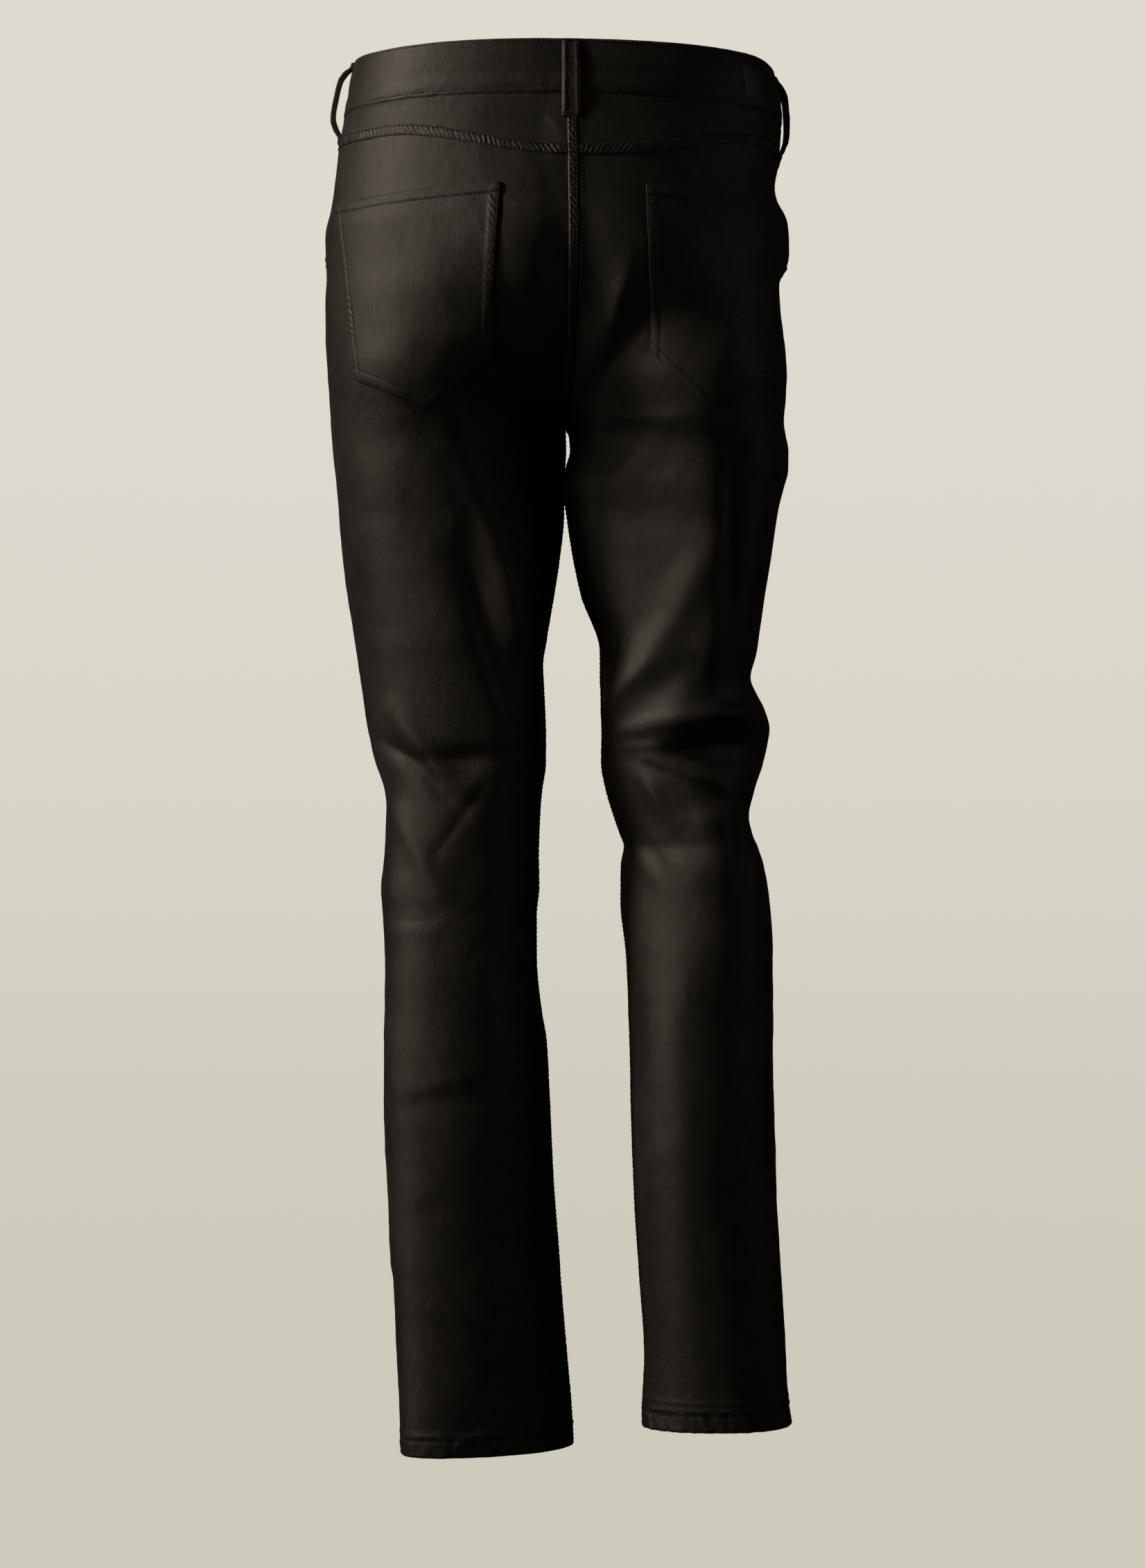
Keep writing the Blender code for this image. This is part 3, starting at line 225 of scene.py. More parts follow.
# Finer creases: x to the right as seen from behind, and z; bend is how far the middle lies to the line's left,
# "left" and "right" are the widths on either side of it, looking from its first end to its second.
CREASE_COLUMNS = ("face", "x0", "z0", "x1", "z1", "bend", "left", "right", "height")
CREASES = (
    # left thigh
    ("back", -90.0, -226.0, -64.0, -306.0, 0.0, 9.0, 14.0, 3.4),
    ("back", -147.0, -240.0, -135.0, -410.0, 0.0, 24.0, 12.0, 1.5),
    ("back", -70.0, -296.0, -24.0, -440.0, 2.0, 12.0, 7.0, 3.6),
    ("back", -71.0, -340.0, -37.0, -468.0, -3.0, 13.0, 8.0, -3.2),
    ("back", -37.0, -468.0, -15.0, -508.0, 0.0, 9.0, 9.0, -2.2),
    ("back", -155.0, -324.0, -122.0, -321.0, 1.0, 8.0, 9.0, -0.5),
    ("back", -150.0, -402.0, -118.0, -409.0, 1.0, 9.0, 9.0, -0.4),
    ("back", -118.0, -262.0, -92.0, -292.0, 0.0, 9.0, 9.0, 0.8),
    # left knee
    ("back", -128.0, -459.0, -98.0, -499.0, 1.0, 7.0, 6.0, 0.3),
    ("back", -137.0, -487.0, -112.0, -501.0, -1.0, 3.0, 3.0, -0.8),
    ("back", -112.0, -501.0, -76.0, -535.0, -2.0, 4.5, 4.5, -0.4),
    ("back", -98.0, -501.0, -56.0, -500.0, 0.0, 5.0, 5.0, -0.5),
    ("back", -90.0, -512.0, -58.0, -510.0, 0.0, 10.0, 9.0, -1.8),
    ("back", -59.0, -521.0, -99.0, -574.0, 1.5, 1.6, 2.8, -0.4),
    ("back", -66.0, -515.0, -86.0, -540.0, 1.5, 5.0, 5.0, 0.5),
    ("back", -127.0, -538.0, -104.0, -578.0, -1.5, 5.0, 5.0, 0.6),
    ("back", -104.0, -578.0, -86.0, -611.0, 0.0, 6.0, 6.0, 0.4),
    ("back", -128.0, -619.5, -92.0, -618.5, -1.0, 2.6, 3.4, -0.35),
    ("back", -82.0, -617.5, -46.0, -611.0, 1.5, 2.6, 3.4, -0.35),
    ("back", -72.0, -653.0, -60.0, -634.0, 1.0, 2.0, 2.6, -0.6),
    ("back", -52.0, -653.0, -49.0, -669.0, 0.0, 2.0, 2.6, -0.6),
    ("back", -26.0, -632.0, -40.0, -656.0, 0.0, 4.5, 5.0, 1.4),
    # left calf
    ("back", -62.0, -625.0, -66.0, -950.0, 0.0, 26.0, 42.0, 2.4),
    ("back", -130.0, -749.0, -81.0, -735.0, -2.0, 5.0, 6.0, 0.4),
    ("back", -81.0, -735.0, -27.0, -723.0, -1.0, 5.0, 6.0, 0.4),
    ("back", -118.0, -838.0, -70.0, -828.0, 2.0, 8.0, 9.0, -0.8),
    ("back", -104.0, -905.0, -52.0, -917.0, 2.0, 9.0, 8.0, 0.8),
    # seat
    ("back", -22.0, -92.0, -27.0, -168.0, 0.0, 14.0, 46.0, 2.6),
    ("back", -18.0, -30.0, -20.0, -62.0, 0.0, 12.0, 32.0, -2.2),
    ("back", -12.5, -36.5, -2.5, -46.5, 0.0, 1.8, 2.0, 0.7),
    ("back", -63.0, -78.0, -56.0, -84.0, 0.0, 1.3, 1.5, 0.6),
    ("back", -66.0, -74.5, -59.0, -80.0, 0.0, 1.3, 1.5, 0.5),
    ("back", 47.0, -140.0, 27.0, -212.0, 1.0, 4.5, 6.0, 1.2),
    ("back", 63.0, -186.0, 44.0, -226.0, 0.0, 4.0, 6.0, 0.9),
    ("back", 52.0, -232.0, 34.0, -262.0, 0.0, 6.0, 6.0, 0.9),
    # right thigh
    ("back", 76.0, -256.0, 40.0, -298.0, 1.0, 8.0, 9.0, 1.2),
    ("back", 34.0, -314.0, 106.0, -331.0, 0.0, 9.0, 10.0, 0.7),
    ("back", 102.0, -357.0, 63.0, -432.0, 2.0, 9.0, 9.0, 0.8),
    ("back", 63.0, -432.0, 30.0, -468.0, -2.0, 5.0, 7.0, 2.0),
    ("back", 120.0, -250.0, 121.0, -450.0, 2.0, 7.0, 6.0, -1.6),
    ("back", 38.0, -285.0, 52.0, -445.0, 0.0, 14.0, 36.0, 3.0),
    ("back", 40.0, -252.0, 118.0, -256.0, 0.0, 10.0, 13.0, 1.5),
    ("back", 84.0, -420.0, 106.0, -452.0, 1.0, 10.0, 10.0, -1.4),
    # right knee
    ("back", 42.0, -479.0, 78.0, -467.0, 1.0, 3.5, 3.5, 0.8),
    ("back", 78.0, -467.0, 124.0, -464.0, 2.0, 4.0, 4.0, 0.9),
    ("back", 34.0, -492.0, 72.0, -490.5, 0.0, 3.0, 3.0, 1.0),
    ("back", 76.0, -493.0, 104.0, -502.0, 0.0, 4.5, 9.0, -2.6),
    ("back", 96.0, -501.0, 148.0, -495.0, 0.0, 14.0, 17.0, -4.6),
    ("back", 94.0, -470.0, 134.0, -468.0, 1.0, 8.0, 6.0, 2.6),
    ("back", 66.0, -503.0, 108.0, -516.0, -2.0, 5.0, 4.0, 0.9),
    ("back", 53.0, -503.0, 84.0, -511.0, -2.0, 4.0, 4.0, -0.9),
    ("back", 57.0, -507.0, 76.0, -538.0, -1.0, 4.0, 4.0, 0.8),
    ("back", 70.0, -520.0, 84.0, -550.0, 0.0, 4.0, 4.0, -0.8),
    ("back", 133.5, -530.0, 131.0, -604.0, 0.0, 2.4, 3.0, -1.2),
    ("back", 49.0, -561.0, 73.0, -599.0, 1.0, 6.0, 6.0, 1.3),
    ("back", 60.0, -557.0, 76.0, -584.0, 0.0, 5.0, 5.0, -1.0),
    ("back", 90.0, -560.0, 112.0, -592.0, 0.0, 8.0, 8.0, -0.6),
    ("back", 46.0, -573.0, 126.0, -584.0, 0.0, 27.0, 24.0, 4.8),
    ("back", 51.0, -684.0, 68.0, -683.0, 0.0, 2.0, 2.6, -0.4),
    ("back", 60.0, -778.0, 118.0, -762.0, 2.0, 9.0, 9.0, -0.4),
    ("back", 78.0, -872.0, 132.0, -886.0, 2.0, 9.0, 9.0, 0.4),
    ("back", 57.0, -600.0, 61.0, -940.0, 0.0, 36.0, 18.0, 2.8),
    # the front
    ("front", -150.0, -300.0, -40.0, -262.0, 2.0, 5.0, 7.0, -1.6),
    ("front", 140.0, -296.0, 36.0, -258.0, -2.0, 7.0, 5.0, -1.6),
    ("front", -140.0, -262.0, -52.0, -236.0, 2.0, 5.0, 6.0, 1.2),
    ("front", 132.0, -270.0, 48.0, -238.0, -1.0, 6.0, 5.0, 1.2),
    ("front", -120.0, -522.0, -50.0, -543.0, 2.0, 4.0, 6.0, 1.6),
    ("front", -112.0, -560.0, -48.0, -553.0, 1.0, 3.0, 5.0, -1.6),
    ("front", 130.0, -505.0, 62.0, -531.0, -2.0, 5.0, 4.0, 1.6),
    ("front", 128.0, -552.0, 66.0, -546.0, 1.0, 4.0, 4.0, -1.6),
    ("front", 118.0, -636.0, 72.0, -621.0, 1.0, 4.0, 5.0, 1.2),
    ("front", -112.0, -658.0, -58.0, -678.0, 1.0, 5.0, 4.0, 1.2),
    ("front", -104.0, -760.0, -60.0, -748.0, 1.0, 6.0, 6.0, -0.9),
    ("front", 128.0, -806.0, 86.0, -790.0, 1.0, 6.0, 6.0, -0.9),
)
# How far the side seam has turned to the back.
TURNED_COLUMNS = ("z", "left", "right")
TURNED = (
    (-150.0, 0.0, 0.0),
    (-225.0, 0.0, 14.0),
    (-300.0, 0.0, 35.0),
    (-345.0, 0.0, 33.0),
    (-400.0, 0.0, 21.0),
    (-450.0, 0.0, 4.0),
    (-480.0, 0.0, 0.0),
)
# The front pockets' mouths stand off near the side seams.
POCKET_BULGE = {
    "left": {"z": -100.0, "z_half": 44.0, "u": 0.56, "u_half": 0.08, "height": 2.5},
    "right": {"z": -104.0, "z_half": 44.0, "u": 0.525, "u_half": 0.085, "height": 11.0},
}


def smooth(t):
    t = np.clip(t, 0.0, 1.0)
    return t * t * (3.0 - 2.0 * t)


def column(rows, columns, name, z):
    """A column of a table at heights z: a curve through its rows that doesn't overshoot them."""
    at = -np.array([r[columns.index("z")] for r in rows])
    v = np.array([r[columns.index(name)] for r in rows])
    step = np.diff(at)
    rise = np.diff(v) / step
    slope = np.zeros(len(v))
    slope[0], slope[-1] = rise[0], rise[-1]
    same = rise[:-1] * rise[1:] > 0
    both = rise[:-1] + rise[1:]
    slope[1:-1][same] = 2.0 * rise[:-1][same] * rise[1:][same] / both[same]
    x = np.clip(-np.asarray(z, float), at[0], at[-1])
    i = np.clip(np.searchsorted(at, x, side="right") - 1, 0, len(step) - 1)
    t = (x - at[i]) / step[i]
    h00, h10 = (1 + 2 * t) * (1 - t) ** 2, t * (1 - t) ** 2
    h01, h11 = t * t * (3 - 2 * t), t * t * (t - 1)
    return h00 * v[i] + h10 * step[i] * slope[i] + h01 * v[i + 1] + h11 * step[i] * slope[i + 1]


def even(lat, dep, n, shift=0.0):
    """The curve again, as n points evenly spaced on either side of the side seam, and the two lengths.

    The seam is at the curve's middle point, or shift mm before it."""
    along = np.concatenate([[0.0], np.cumsum(np.hypot(np.diff(lat), np.diff(dep)))])
    seam = along[(len(lat) - 1) // 2] - shift
    at = np.concatenate([np.linspace(0.0, seam, n), np.linspace(seam, along[-1], n)[1:]])
    return np.interp(at, along, lat), np.interp(at, along, dep), [seam, along[-1] - seam]


def leg_section(side, z, n):
    """One horizontal section of a leg, from the inseam round the back."""
    get = {c: float(column(LEG[side], LEG_COLUMNS, c, z)) for c in LEG_COLUMNS[1:]}
    xo, xi, yb, yf, yo, yi = (get[c] for c in ("out", "inn", "back", "front", "out_y", "inn_y"))
    lean = (yo - yi) / (xo - xi)
    yo = yi = (yo + yi) / 2
    xb = xi + (xo - xi) * get["ridge"]
    xf = xi + (xo - xi) * 0.5
    a = np.linspace(0.0, math.pi / 2, 161)
    s, c = np.sin(a) ** (2 / 2.1), np.cos(a) ** (2 / 2.1)
    full = float(column(FULLNESS, FULL_COLUMNS, side, z))
    si, ci = np.sin(a) ** (2 / full), np.cos(a) ** (2 / full)
    lat = np.concatenate([xb + (xi - xb) * ci, (xb + (xo - xb) * s)[1:], (xf + (xo - xf) * c)[1:], (xf + (xi - xf) * s)[1:]])
    dep = np.concatenate([yi + (yb - yi) * si, (yo + (yb - yo) * c)[1:], (yo + (yf - yo) * s)[1:], (yi + (yf - yi) * c)[1:]])
    return even(lat, dep + lean * (lat - (xo + xi) / 2), n, float(column(TURNED, TURNED_COLUMNS, side, z)))


def torso_section(side, z, n):
    """Half of one horizontal section of the hips, from the centre back to the centre front."""
    get = {c: float(column(TORSO, TORSO_COLUMNS, c, z)) for c in TORSO_COLUMNS[1:]}
    turned = float(column(TURNED, TURNED_COLUMNS, side, z))
    xo, yb, yf = get["out_" + side], get["back"], get["front"]
    a = np.linspace(0.0, math.pi / 2, 321)
    s, c = np.sin(a) ** (2 / 2.25), np.cos(a) ** (2 / 2.25)
    lat = np.concatenate([xo * s, (xo * c)[1:]])
    dep = np.concatenate([yb * c, (yf * s)[1:]])
    dep = dep - np.where(dep > 0, get["cleft"] * np.exp(-((lat / 30.0) ** 2)), 0.0)
    return even(lat, dep, n, turned)


LATTICES = {}


def noise(x, y, seed):
    """Smooth uneven values from -1 to 1 over a plane, always the same for a seed."""
    if seed not in LATTICES:
        LATTICES[seed] = np.random.RandomState(seed).rand(64, 64) * 2.0 - 1.0
    g = LATTICES[seed]
    x, y = np.broadcast_arrays(np.asarray(x, float), np.asarray(y, float))
    xi, yi = np.floor(x).astype(int), np.floor(y).astype(int)
    fx, fy = x - xi, y - yi
    fx = fx * fx * fx * (fx * (fx * 6 - 15) + 10)
    fy = fy * fy * fy * (fy * (fy * 6 - 15) + 10)
    a, b = g[xi % 64, yi % 64], g[(xi + 1) % 64, yi % 64]
    c, d = g[xi % 64, (yi + 1) % 64], g[(xi + 1) % 64, (yi + 1) % 64]
    return (a * (1 - fx) + b * fx) * (1 - fy) + (c * (1 - fx) + d * fx) * fy


class Half:
    """The sheet of one half, worked out on a fine grid of heights and u."""

    def __init__(self, side, folds, creases, n=221, step=1.5):
        self.side = side
        self.hand = 1.0 if side == "left" else -1.0
        curve = np.linspace(0.0, math.pi / 2, 121)
        depth = SEAT_Z - CROTCH_Z
        self.z = np.concatenate(
            [
                np.arange(WAIST_TOP + 6.0, SEAT_Z, -step),
                SEAT_Z - depth * np.sin(curve),
                np.arange(CROTCH_Z - step, HEM_Z[side] - 4.0, -step),
            ]
        )
        self.u = np.linspace(0.0, 1.0, 2 * n - 1)
        sheet, self.back_len, self.front_len = [], [], []
        for z in self.z:
            t = np.clip((SEAT_Z - z) / depth, 0.0, 1.0)
            power = 0.5 + 1.3 * smooth(np.minimum(self.u, 1.0 - self.u) / 0.2)
            w = 1.0 - np.maximum(0.0, 1.0 - t * t) ** power
            tx, ty, tl = torso_section(side, max(z, CROTCH_Z), n)
            tx = tx * self.hand
            if z > SEAT_Z:
                x, y, lengths = tx, ty, tl
            else:
                lat, dep, ll = leg_section(side, z, n)
                vx = -self.hand * lat
                lx = -vx * math.cos(TURN) + dep * math.sin(TURN)
                ly = vx * math.sin(TURN) + dep * math.cos(TURN)
                x, y = (1 - w) * tx + w * lx, (1 - w) * ty + w * ly
                lengths = [(1 - w[0]) * a + w[0] * b for a, b in zip(tl, ll)]
            x = x + self.hand * SEAM_GAP / 2
            tilt = SIDE_DIP[side] * smooth((self.u - 0.34) / 0.18) * (1.0 - smooth((self.u - 0.6) / 0.35))
            drop = (FRONT_DIP * self.u ** 2 + tilt) * smooth((z + 190.0) / 130.0)
            sheet.append(np.stack([x, y, z - drop], axis=1))
            self.back_len.append(lengths[0])
            self.front_len.append(lengths[1])
        self.back_len, self.front_len = np.array(self.back_len), np.array(self.front_len)
        base = np.array(sheet)
        heights = self.fold_heights(base, folds) + self.crease_heights(base, creases)
        self.points = base + self.normals_of(base) * heights[..., None]
        self.normals = self.normals_of(self.points)

    def normals_of(self, p):
        du = np.gradient(p, self.u, axis=1, edge_order=2)
        ring = self.z < CROTCH_Z - 1e-6
        du[ring, 0] = du[ring, -1] = (p[ring, 1] - p[ring, -2]) / (self.u[1] * 2.0)
        dz = np.empty_like(p)
        seg = np.linalg.norm(np.diff(p, axis=0), axis=2) + 1e-6
        dz[1:-1] = (p[2:] - p[:-2]) / (seg[1:] + seg[:-1])[..., None]
        dz[0], dz[-1] = (p[1] - p[0]) / seg[0][:, None], (p[-1] - p[-2]) / seg[-1][:, None]
        n = np.cross(du, dz) * self.hand
        return n / np.maximum(np.linalg.norm(n, axis=2, keepdims=True), 1e-9)

    def fold_heights(self, base, folds):
        n = self.normals_of(base)
        vx = -base[..., 0] * math.cos(TURN) + base[..., 1] * math.sin(TURN)
        vy = n[..., 0] * math.sin(TURN) + n[..., 1] * math.cos(TURN)
        z = base[..., 2]
        total = np.zeros(vx.shape)
        for face, x0, z0, x1, z1, width, height in folds:
            lx, lz = x1 - x0, z1 - z0
            t = np.clip(((vx - x0) * lx + (z - z0) * lz) / (lx * lx + lz * lz), 0.0, 1.0)
            far = ((vx - x0 - t * lx) ** 2 + (z - z0 - t * lz) ** 2) / width ** 2
            faces = smooth((vy if face == "back" else -vy) / 0.55)
            taper = 0.55 + 0.45 * np.sin(math.pi * np.clip(t, 0.0, 1.0))
            total += height * taper * np.exp(-far) * faces
        return total + self.mouth_bulge(self.u[None, :], self.z[:, None])

    def crease_heights(self, base, creases):
        """The finer creases, each with a bend and its own width on either side, and the cloth's slight unevenness."""
        n = self.normals_of(base)
        vx = -base[..., 0] * math.cos(TURN) + base[..., 1] * math.sin(TURN)
        vy = n[..., 0] * math.sin(TURN) + n[..., 1] * math.cos(TURN)
        z = base[..., 2]
        total = np.zeros(vx.shape)
        for face, x0, z0, x1, z1, bend, left, right, height in creases:
            if abs(x0) > 1 and (x0 < 0) != (self.side == "left") and abs(x0 + x1) > 40:
                continue
            lx, lz = x1 - x0, z1 - z0
            long = math.hypot(lx, lz)
            t = ((vx - x0) * lx + (z - z0) * lz) / (long * long)
            tc = np.clip(t, 0.0, 1.0)
            # the offset to the right of the line, looking from its first end to its second
            off = ((vx - x0) * -lz + (z - z0) * lx) / long
            off = -(off - bend * 4.0 * tc * (1.0 - tc))
            off = off + 0.12 * left * noise(t * long / 23.0, off / 40.0, 5)
            past = np.where(t < 0, t, np.where(t > 1, t - 1, 0.0)) * long
            wide = np.where(off < 0, left, right)
            profile = np.exp(-((off / wide) ** 2) - (past / (1.3 * min(left, right) + 2.0)) ** 2)
            taper = 0.35 + 0.65 * np.sin(math.pi * np.clip(tc * 0.9 + 0.05, 0.0, 1.0))
            faces = smooth((vy if face == "back" else -vy) / 0.45)
            total += height * taper * profile * faces
        s = self.u[None, :] * 2.0 * np.interp(-self.z, -self.z, self.back_len)[:, None]
        uneven = 0.55 * noise(s / 46.0, z / 70.0, 11) + 0.28 * noise(s / 19.0, z / 33.0, 12) + 0.10 * noise(s / 8.0, z / 13.0, 13)
        edge = smooth(np.minimum(self.u, 1.0 - self.u)[None, :] / 0.03)
        return total + uneven * (0.25 + 0.75 * smooth((-self.z[:, None] - 30.0) / 60.0)) * edge

    def mouth_bulge(self, u, z):
        b = POCKET_BULGE[self.side]
        across = np.clip(1.0 - np.abs(u - b["u"]) / b["u_half"], 0.0, 1.0)
        down = np.clip(1.0 - np.abs(z - b["z"]) / b["z_half"], 0.0, 1.0)
        return b["height"] * smooth(across) * smooth(1.4 * down)

    def at(self, u, z, out=0.0):
        """Points of the sheet at u and z, moved out along its normals."""
        u, z = np.broadcast_arrays(np.asarray(u, float), np.asarray(z, float))
        i = np.clip(np.interp(-z, -self.z, np.arange(len(self.z))), 0, len(self.z) - 1.0001)
        j = np.clip(u * (len(self.u) - 1), 0, len(self.u) - 1.0001)
        i0, j0 = i.astype(int), j.astype(int)
        fi, fj = (i - i0)[..., None], (j - j0)[..., None]

        def mix(a):
            return (
                a[i0, j0] * (1 - fi) * (1 - fj)
                + a[i0 + 1, j0] * fi * (1 - fj)
                + a[i0, j0 + 1] * (1 - fi) * fj
                + a[i0 + 1, j0 + 1] * fi * fj
            )

        n = mix(self.normals)
        n = n / np.linalg.norm(n, axis=-1, keepdims=True)
        return mix(self.points) + n * np.asarray(out, float)[..., None]

    def u_at(self, s, z):
        """u at s mm round the back from the centre back or inseam."""
        return 0.5 * np.asarray(s, float) / np.interp(-np.asarray(z, float), -self.z, self.back_len)

    def u_at_x(self, x, z):
        """u where the back shows x mm to the right of the middle line, as seen from behind."""
        x, z = np.broadcast_arrays(np.asarray(x, float), np.asarray(z, float))
        far = len(self.u) // 2 + 1
        shown = -self.points[:, :far, 0] * math.cos(TURN) + self.points[:, :far, 1] * math.sin(TURN)
        i = np.clip(np.interp(-z, -self.z, np.arange(len(self.z))), 0, len(self.z) - 1.0001)
        i0 = i.astype(int)
        f = (i - i0)[..., None]
        row = (shown[i0] * (1 - f) + shown[i0 + 1] * f) * -self.hand
        want = (x * -self.hand)[..., None]
        past = np.argmax((row[..., 1:] >= want) & (row[..., :-1] < want) & (self.u[1:far] > 0.02), axis=-1)
        a = np.take_along_axis(row, past[..., None], -1)[..., 0]
        b = np.take_along_axis(row, past[..., None] + 1, -1)[..., 0]
        t = np.clip((want[..., 0] - a) / np.maximum(b - a, 1e-9), 0.0, 1.0)
        return self.u[past] + t * (self.u[1] - self.u[0])

    def u_front(self, s, z):
        """u at s mm back from the centre front, round the front."""
        return 1.0 - 0.5 * np.asarray(s, float) / np.interp(-np.asarray(z, float), -self.z, self.front_len)


# ---------------------------------------------------------------------------
# Meshes from sheets of points
# ---------------------------------------------------------------------------
def new_mesh(name, verts, faces, uv=None, smooth_angle=35.0):
    """A mesh object from points in mm and equal-sided faces; uv gives a place on the cloth, in mm, for each point."""
    verts, faces = np.asarray(verts, float), np.asarray(faces, np.int32)
    mesh = bpy.data.meshes.new(name)
    mesh.vertices.add(len(verts))
    mesh.vertices.foreach_set("co", (verts / 1000.0).astype(np.float32).ravel())
    sides = faces.shape[1]
    mesh.loops.add(faces.size)
    mesh.loops.foreach_set("vertex_index", faces.ravel())
    mesh.polygons.add(len(faces))
    mesh.polygons.foreach_set("loop_start", np.arange(0, faces.size, sides, dtype=np.int32))
    mesh.polygons.foreach_set("loop_total", np.full(len(faces), sides, np.int32))
    mesh.polygons.foreach_set("use_smooth", np.ones(len(faces), bool))
    layer = mesh.uv_layers.new(name="cloth")
    if uv is None:
        uv = verts[:, [0, 2]]
    layer.data.foreach_set("uv", np.asarray(uv, np.float32)[faces.ravel()].ravel())
    mesh.update(calc_edges=True)
    mesh.validate(clean_customdata=False)
    mesh.set_sharp_from_angle(angle=math.radians(smooth_angle))
    ob = bpy.data.objects.new(name, mesh)
    bpy.context.scene.collection.objects.link(ob)
    return ob


def grid_faces(rows, cols, start=0, flip=False):
    i, j = np.meshgrid(np.arange(rows - 1), np.arange(cols - 1), indexing="ij")
    a = (i * cols + j).ravel() + start
    q = np.stack([a, a + cols, a + cols + 1, a + 1], axis=1)
    return q[:, ::-1] if flip else q


def shell(name, outer, inner, uv, smooth_angle=50.0):
    """A closed thin shell between two sheets of points."""
    rows, cols = outer.shape[:2]
    o, n = outer.reshape(-1, 3), inner.reshape(-1, 3)
    i, j = rows // 2, cols // 2
    out = (outer - inner)[i, j]
    turned = np.dot(np.cross(outer[i + 1, j] - outer[i, j], outer[i, j + 1] - outer[i, j]), out) < 0
    f = [grid_faces(rows, cols, 0, turned), grid_faces(rows, cols, rows * cols, not turned)]
    ring = np.concatenate(
        [
            np.arange(cols),
            np.arange(1, rows) * cols + cols - 1,
            (rows - 1) * cols + np.arange(cols - 2, -1, -1),
            np.arange(rows - 2, 0, -1) * cols,
        ]
    )
    nxt = np.roll(ring, -1)
    rim = np.stack([ring, nxt, nxt + rows * cols, ring + rows * cols], axis=1)
    f.append(rim[:, ::-1] if turned else rim)
    uv = np.asarray(uv, float).reshape(-1, 2)
    return new_mesh(name, np.concatenate([o, n]), np.concatenate(f), np.concatenate([uv, uv + 7.0]), smooth_angle)


def graded(fine, coarse, total, both=True):
    """Shares from 0 to 1 that lie fine mm apart at the ends and coarse mm apart in the middle of total mm."""
    at, step = [0.0], fine
    end = total / 2 if both else total
    while at[-1] < end:
        at.append(at[-1] + step)
        step = min(coarse, step * 1.28)
    at = np.array(at) * (end / at[-1])
    if both:
        at = np.concatenate([at, total - at[-2::-1]])
    return at / total


def along(p):
    return np.concatenate([[0.0], np.cumsum(np.linalg.norm(np.diff(p, axis=0), axis=-1))])


def sheet_uv(points):
    """Places on the cloth: across from the middle column, and down, both in mm."""
    rows, cols = points.shape[:2]
    dx = np.linalg.norm(np.diff(points, axis=1), axis=2)
    x = np.concatenate([np.zeros((rows, 1)), np.cumsum(dx, axis=1)], axis=1)
    x = x - x[:, cols // 2 : cols // 2 + 1]
    dz = np.linalg.norm(np.diff(points, axis=0), axis=2)
    z = np.concatenate([np.zeros((1, cols)), np.cumsum(dz, axis=0)], axis=0)
    z = z.mean(axis=1, keepdims=True) + 0.0 * x
    return np.stack([x, -z], axis=-1)


# ---------------------------------------------------------------------------
# Stitches: short threads laid on a surface, their ends sunk in the cloth
# ---------------------------------------------------------------------------
RING_PLACES = ((-0.50, 0.45, -0.30), (-0.30, 1.0, 0.04), (0.30, 1.0, 0.04), (0.50, 0.45, -0.30))
RING_SIDES = 5


def threads(centres, tangents, normals, longs, radii):
    """The points and faces of many short threads."""
    k = len(centres)
    side = np.cross(normals, tangents)
    ang = np.linspace(0.0, 2 * math.pi, RING_SIDES, endpoint=False)
    verts = np.empty((k, len(RING_PLACES), RING_SIDES, 3))
    for r, (at, size, up) in enumerate(RING_PLACES):
        c = centres + tangents * (at * longs)[:, None] + normals * up
        for q, a in enumerate(ang):
            verts[:, r, q] = c + (normals * math.cos(a) * 0.85 + side * math.sin(a)) * (size * radii)[:, None]
    per = len(RING_PLACES) * RING_SIDES
    one = []
    for r in range(len(RING_PLACES) - 1):
        for q in range(RING_SIDES):
            a, b = r * RING_SIDES + q, r * RING_SIDES + (q + 1) % RING_SIDES
            one.append((a, b, b + RING_SIDES, a + RING_SIDES))
    faces = np.array(one)[None] + (np.arange(k) * per)[:, None, None]
    return verts.reshape(-1, 3), faces.reshape(-1, 4)


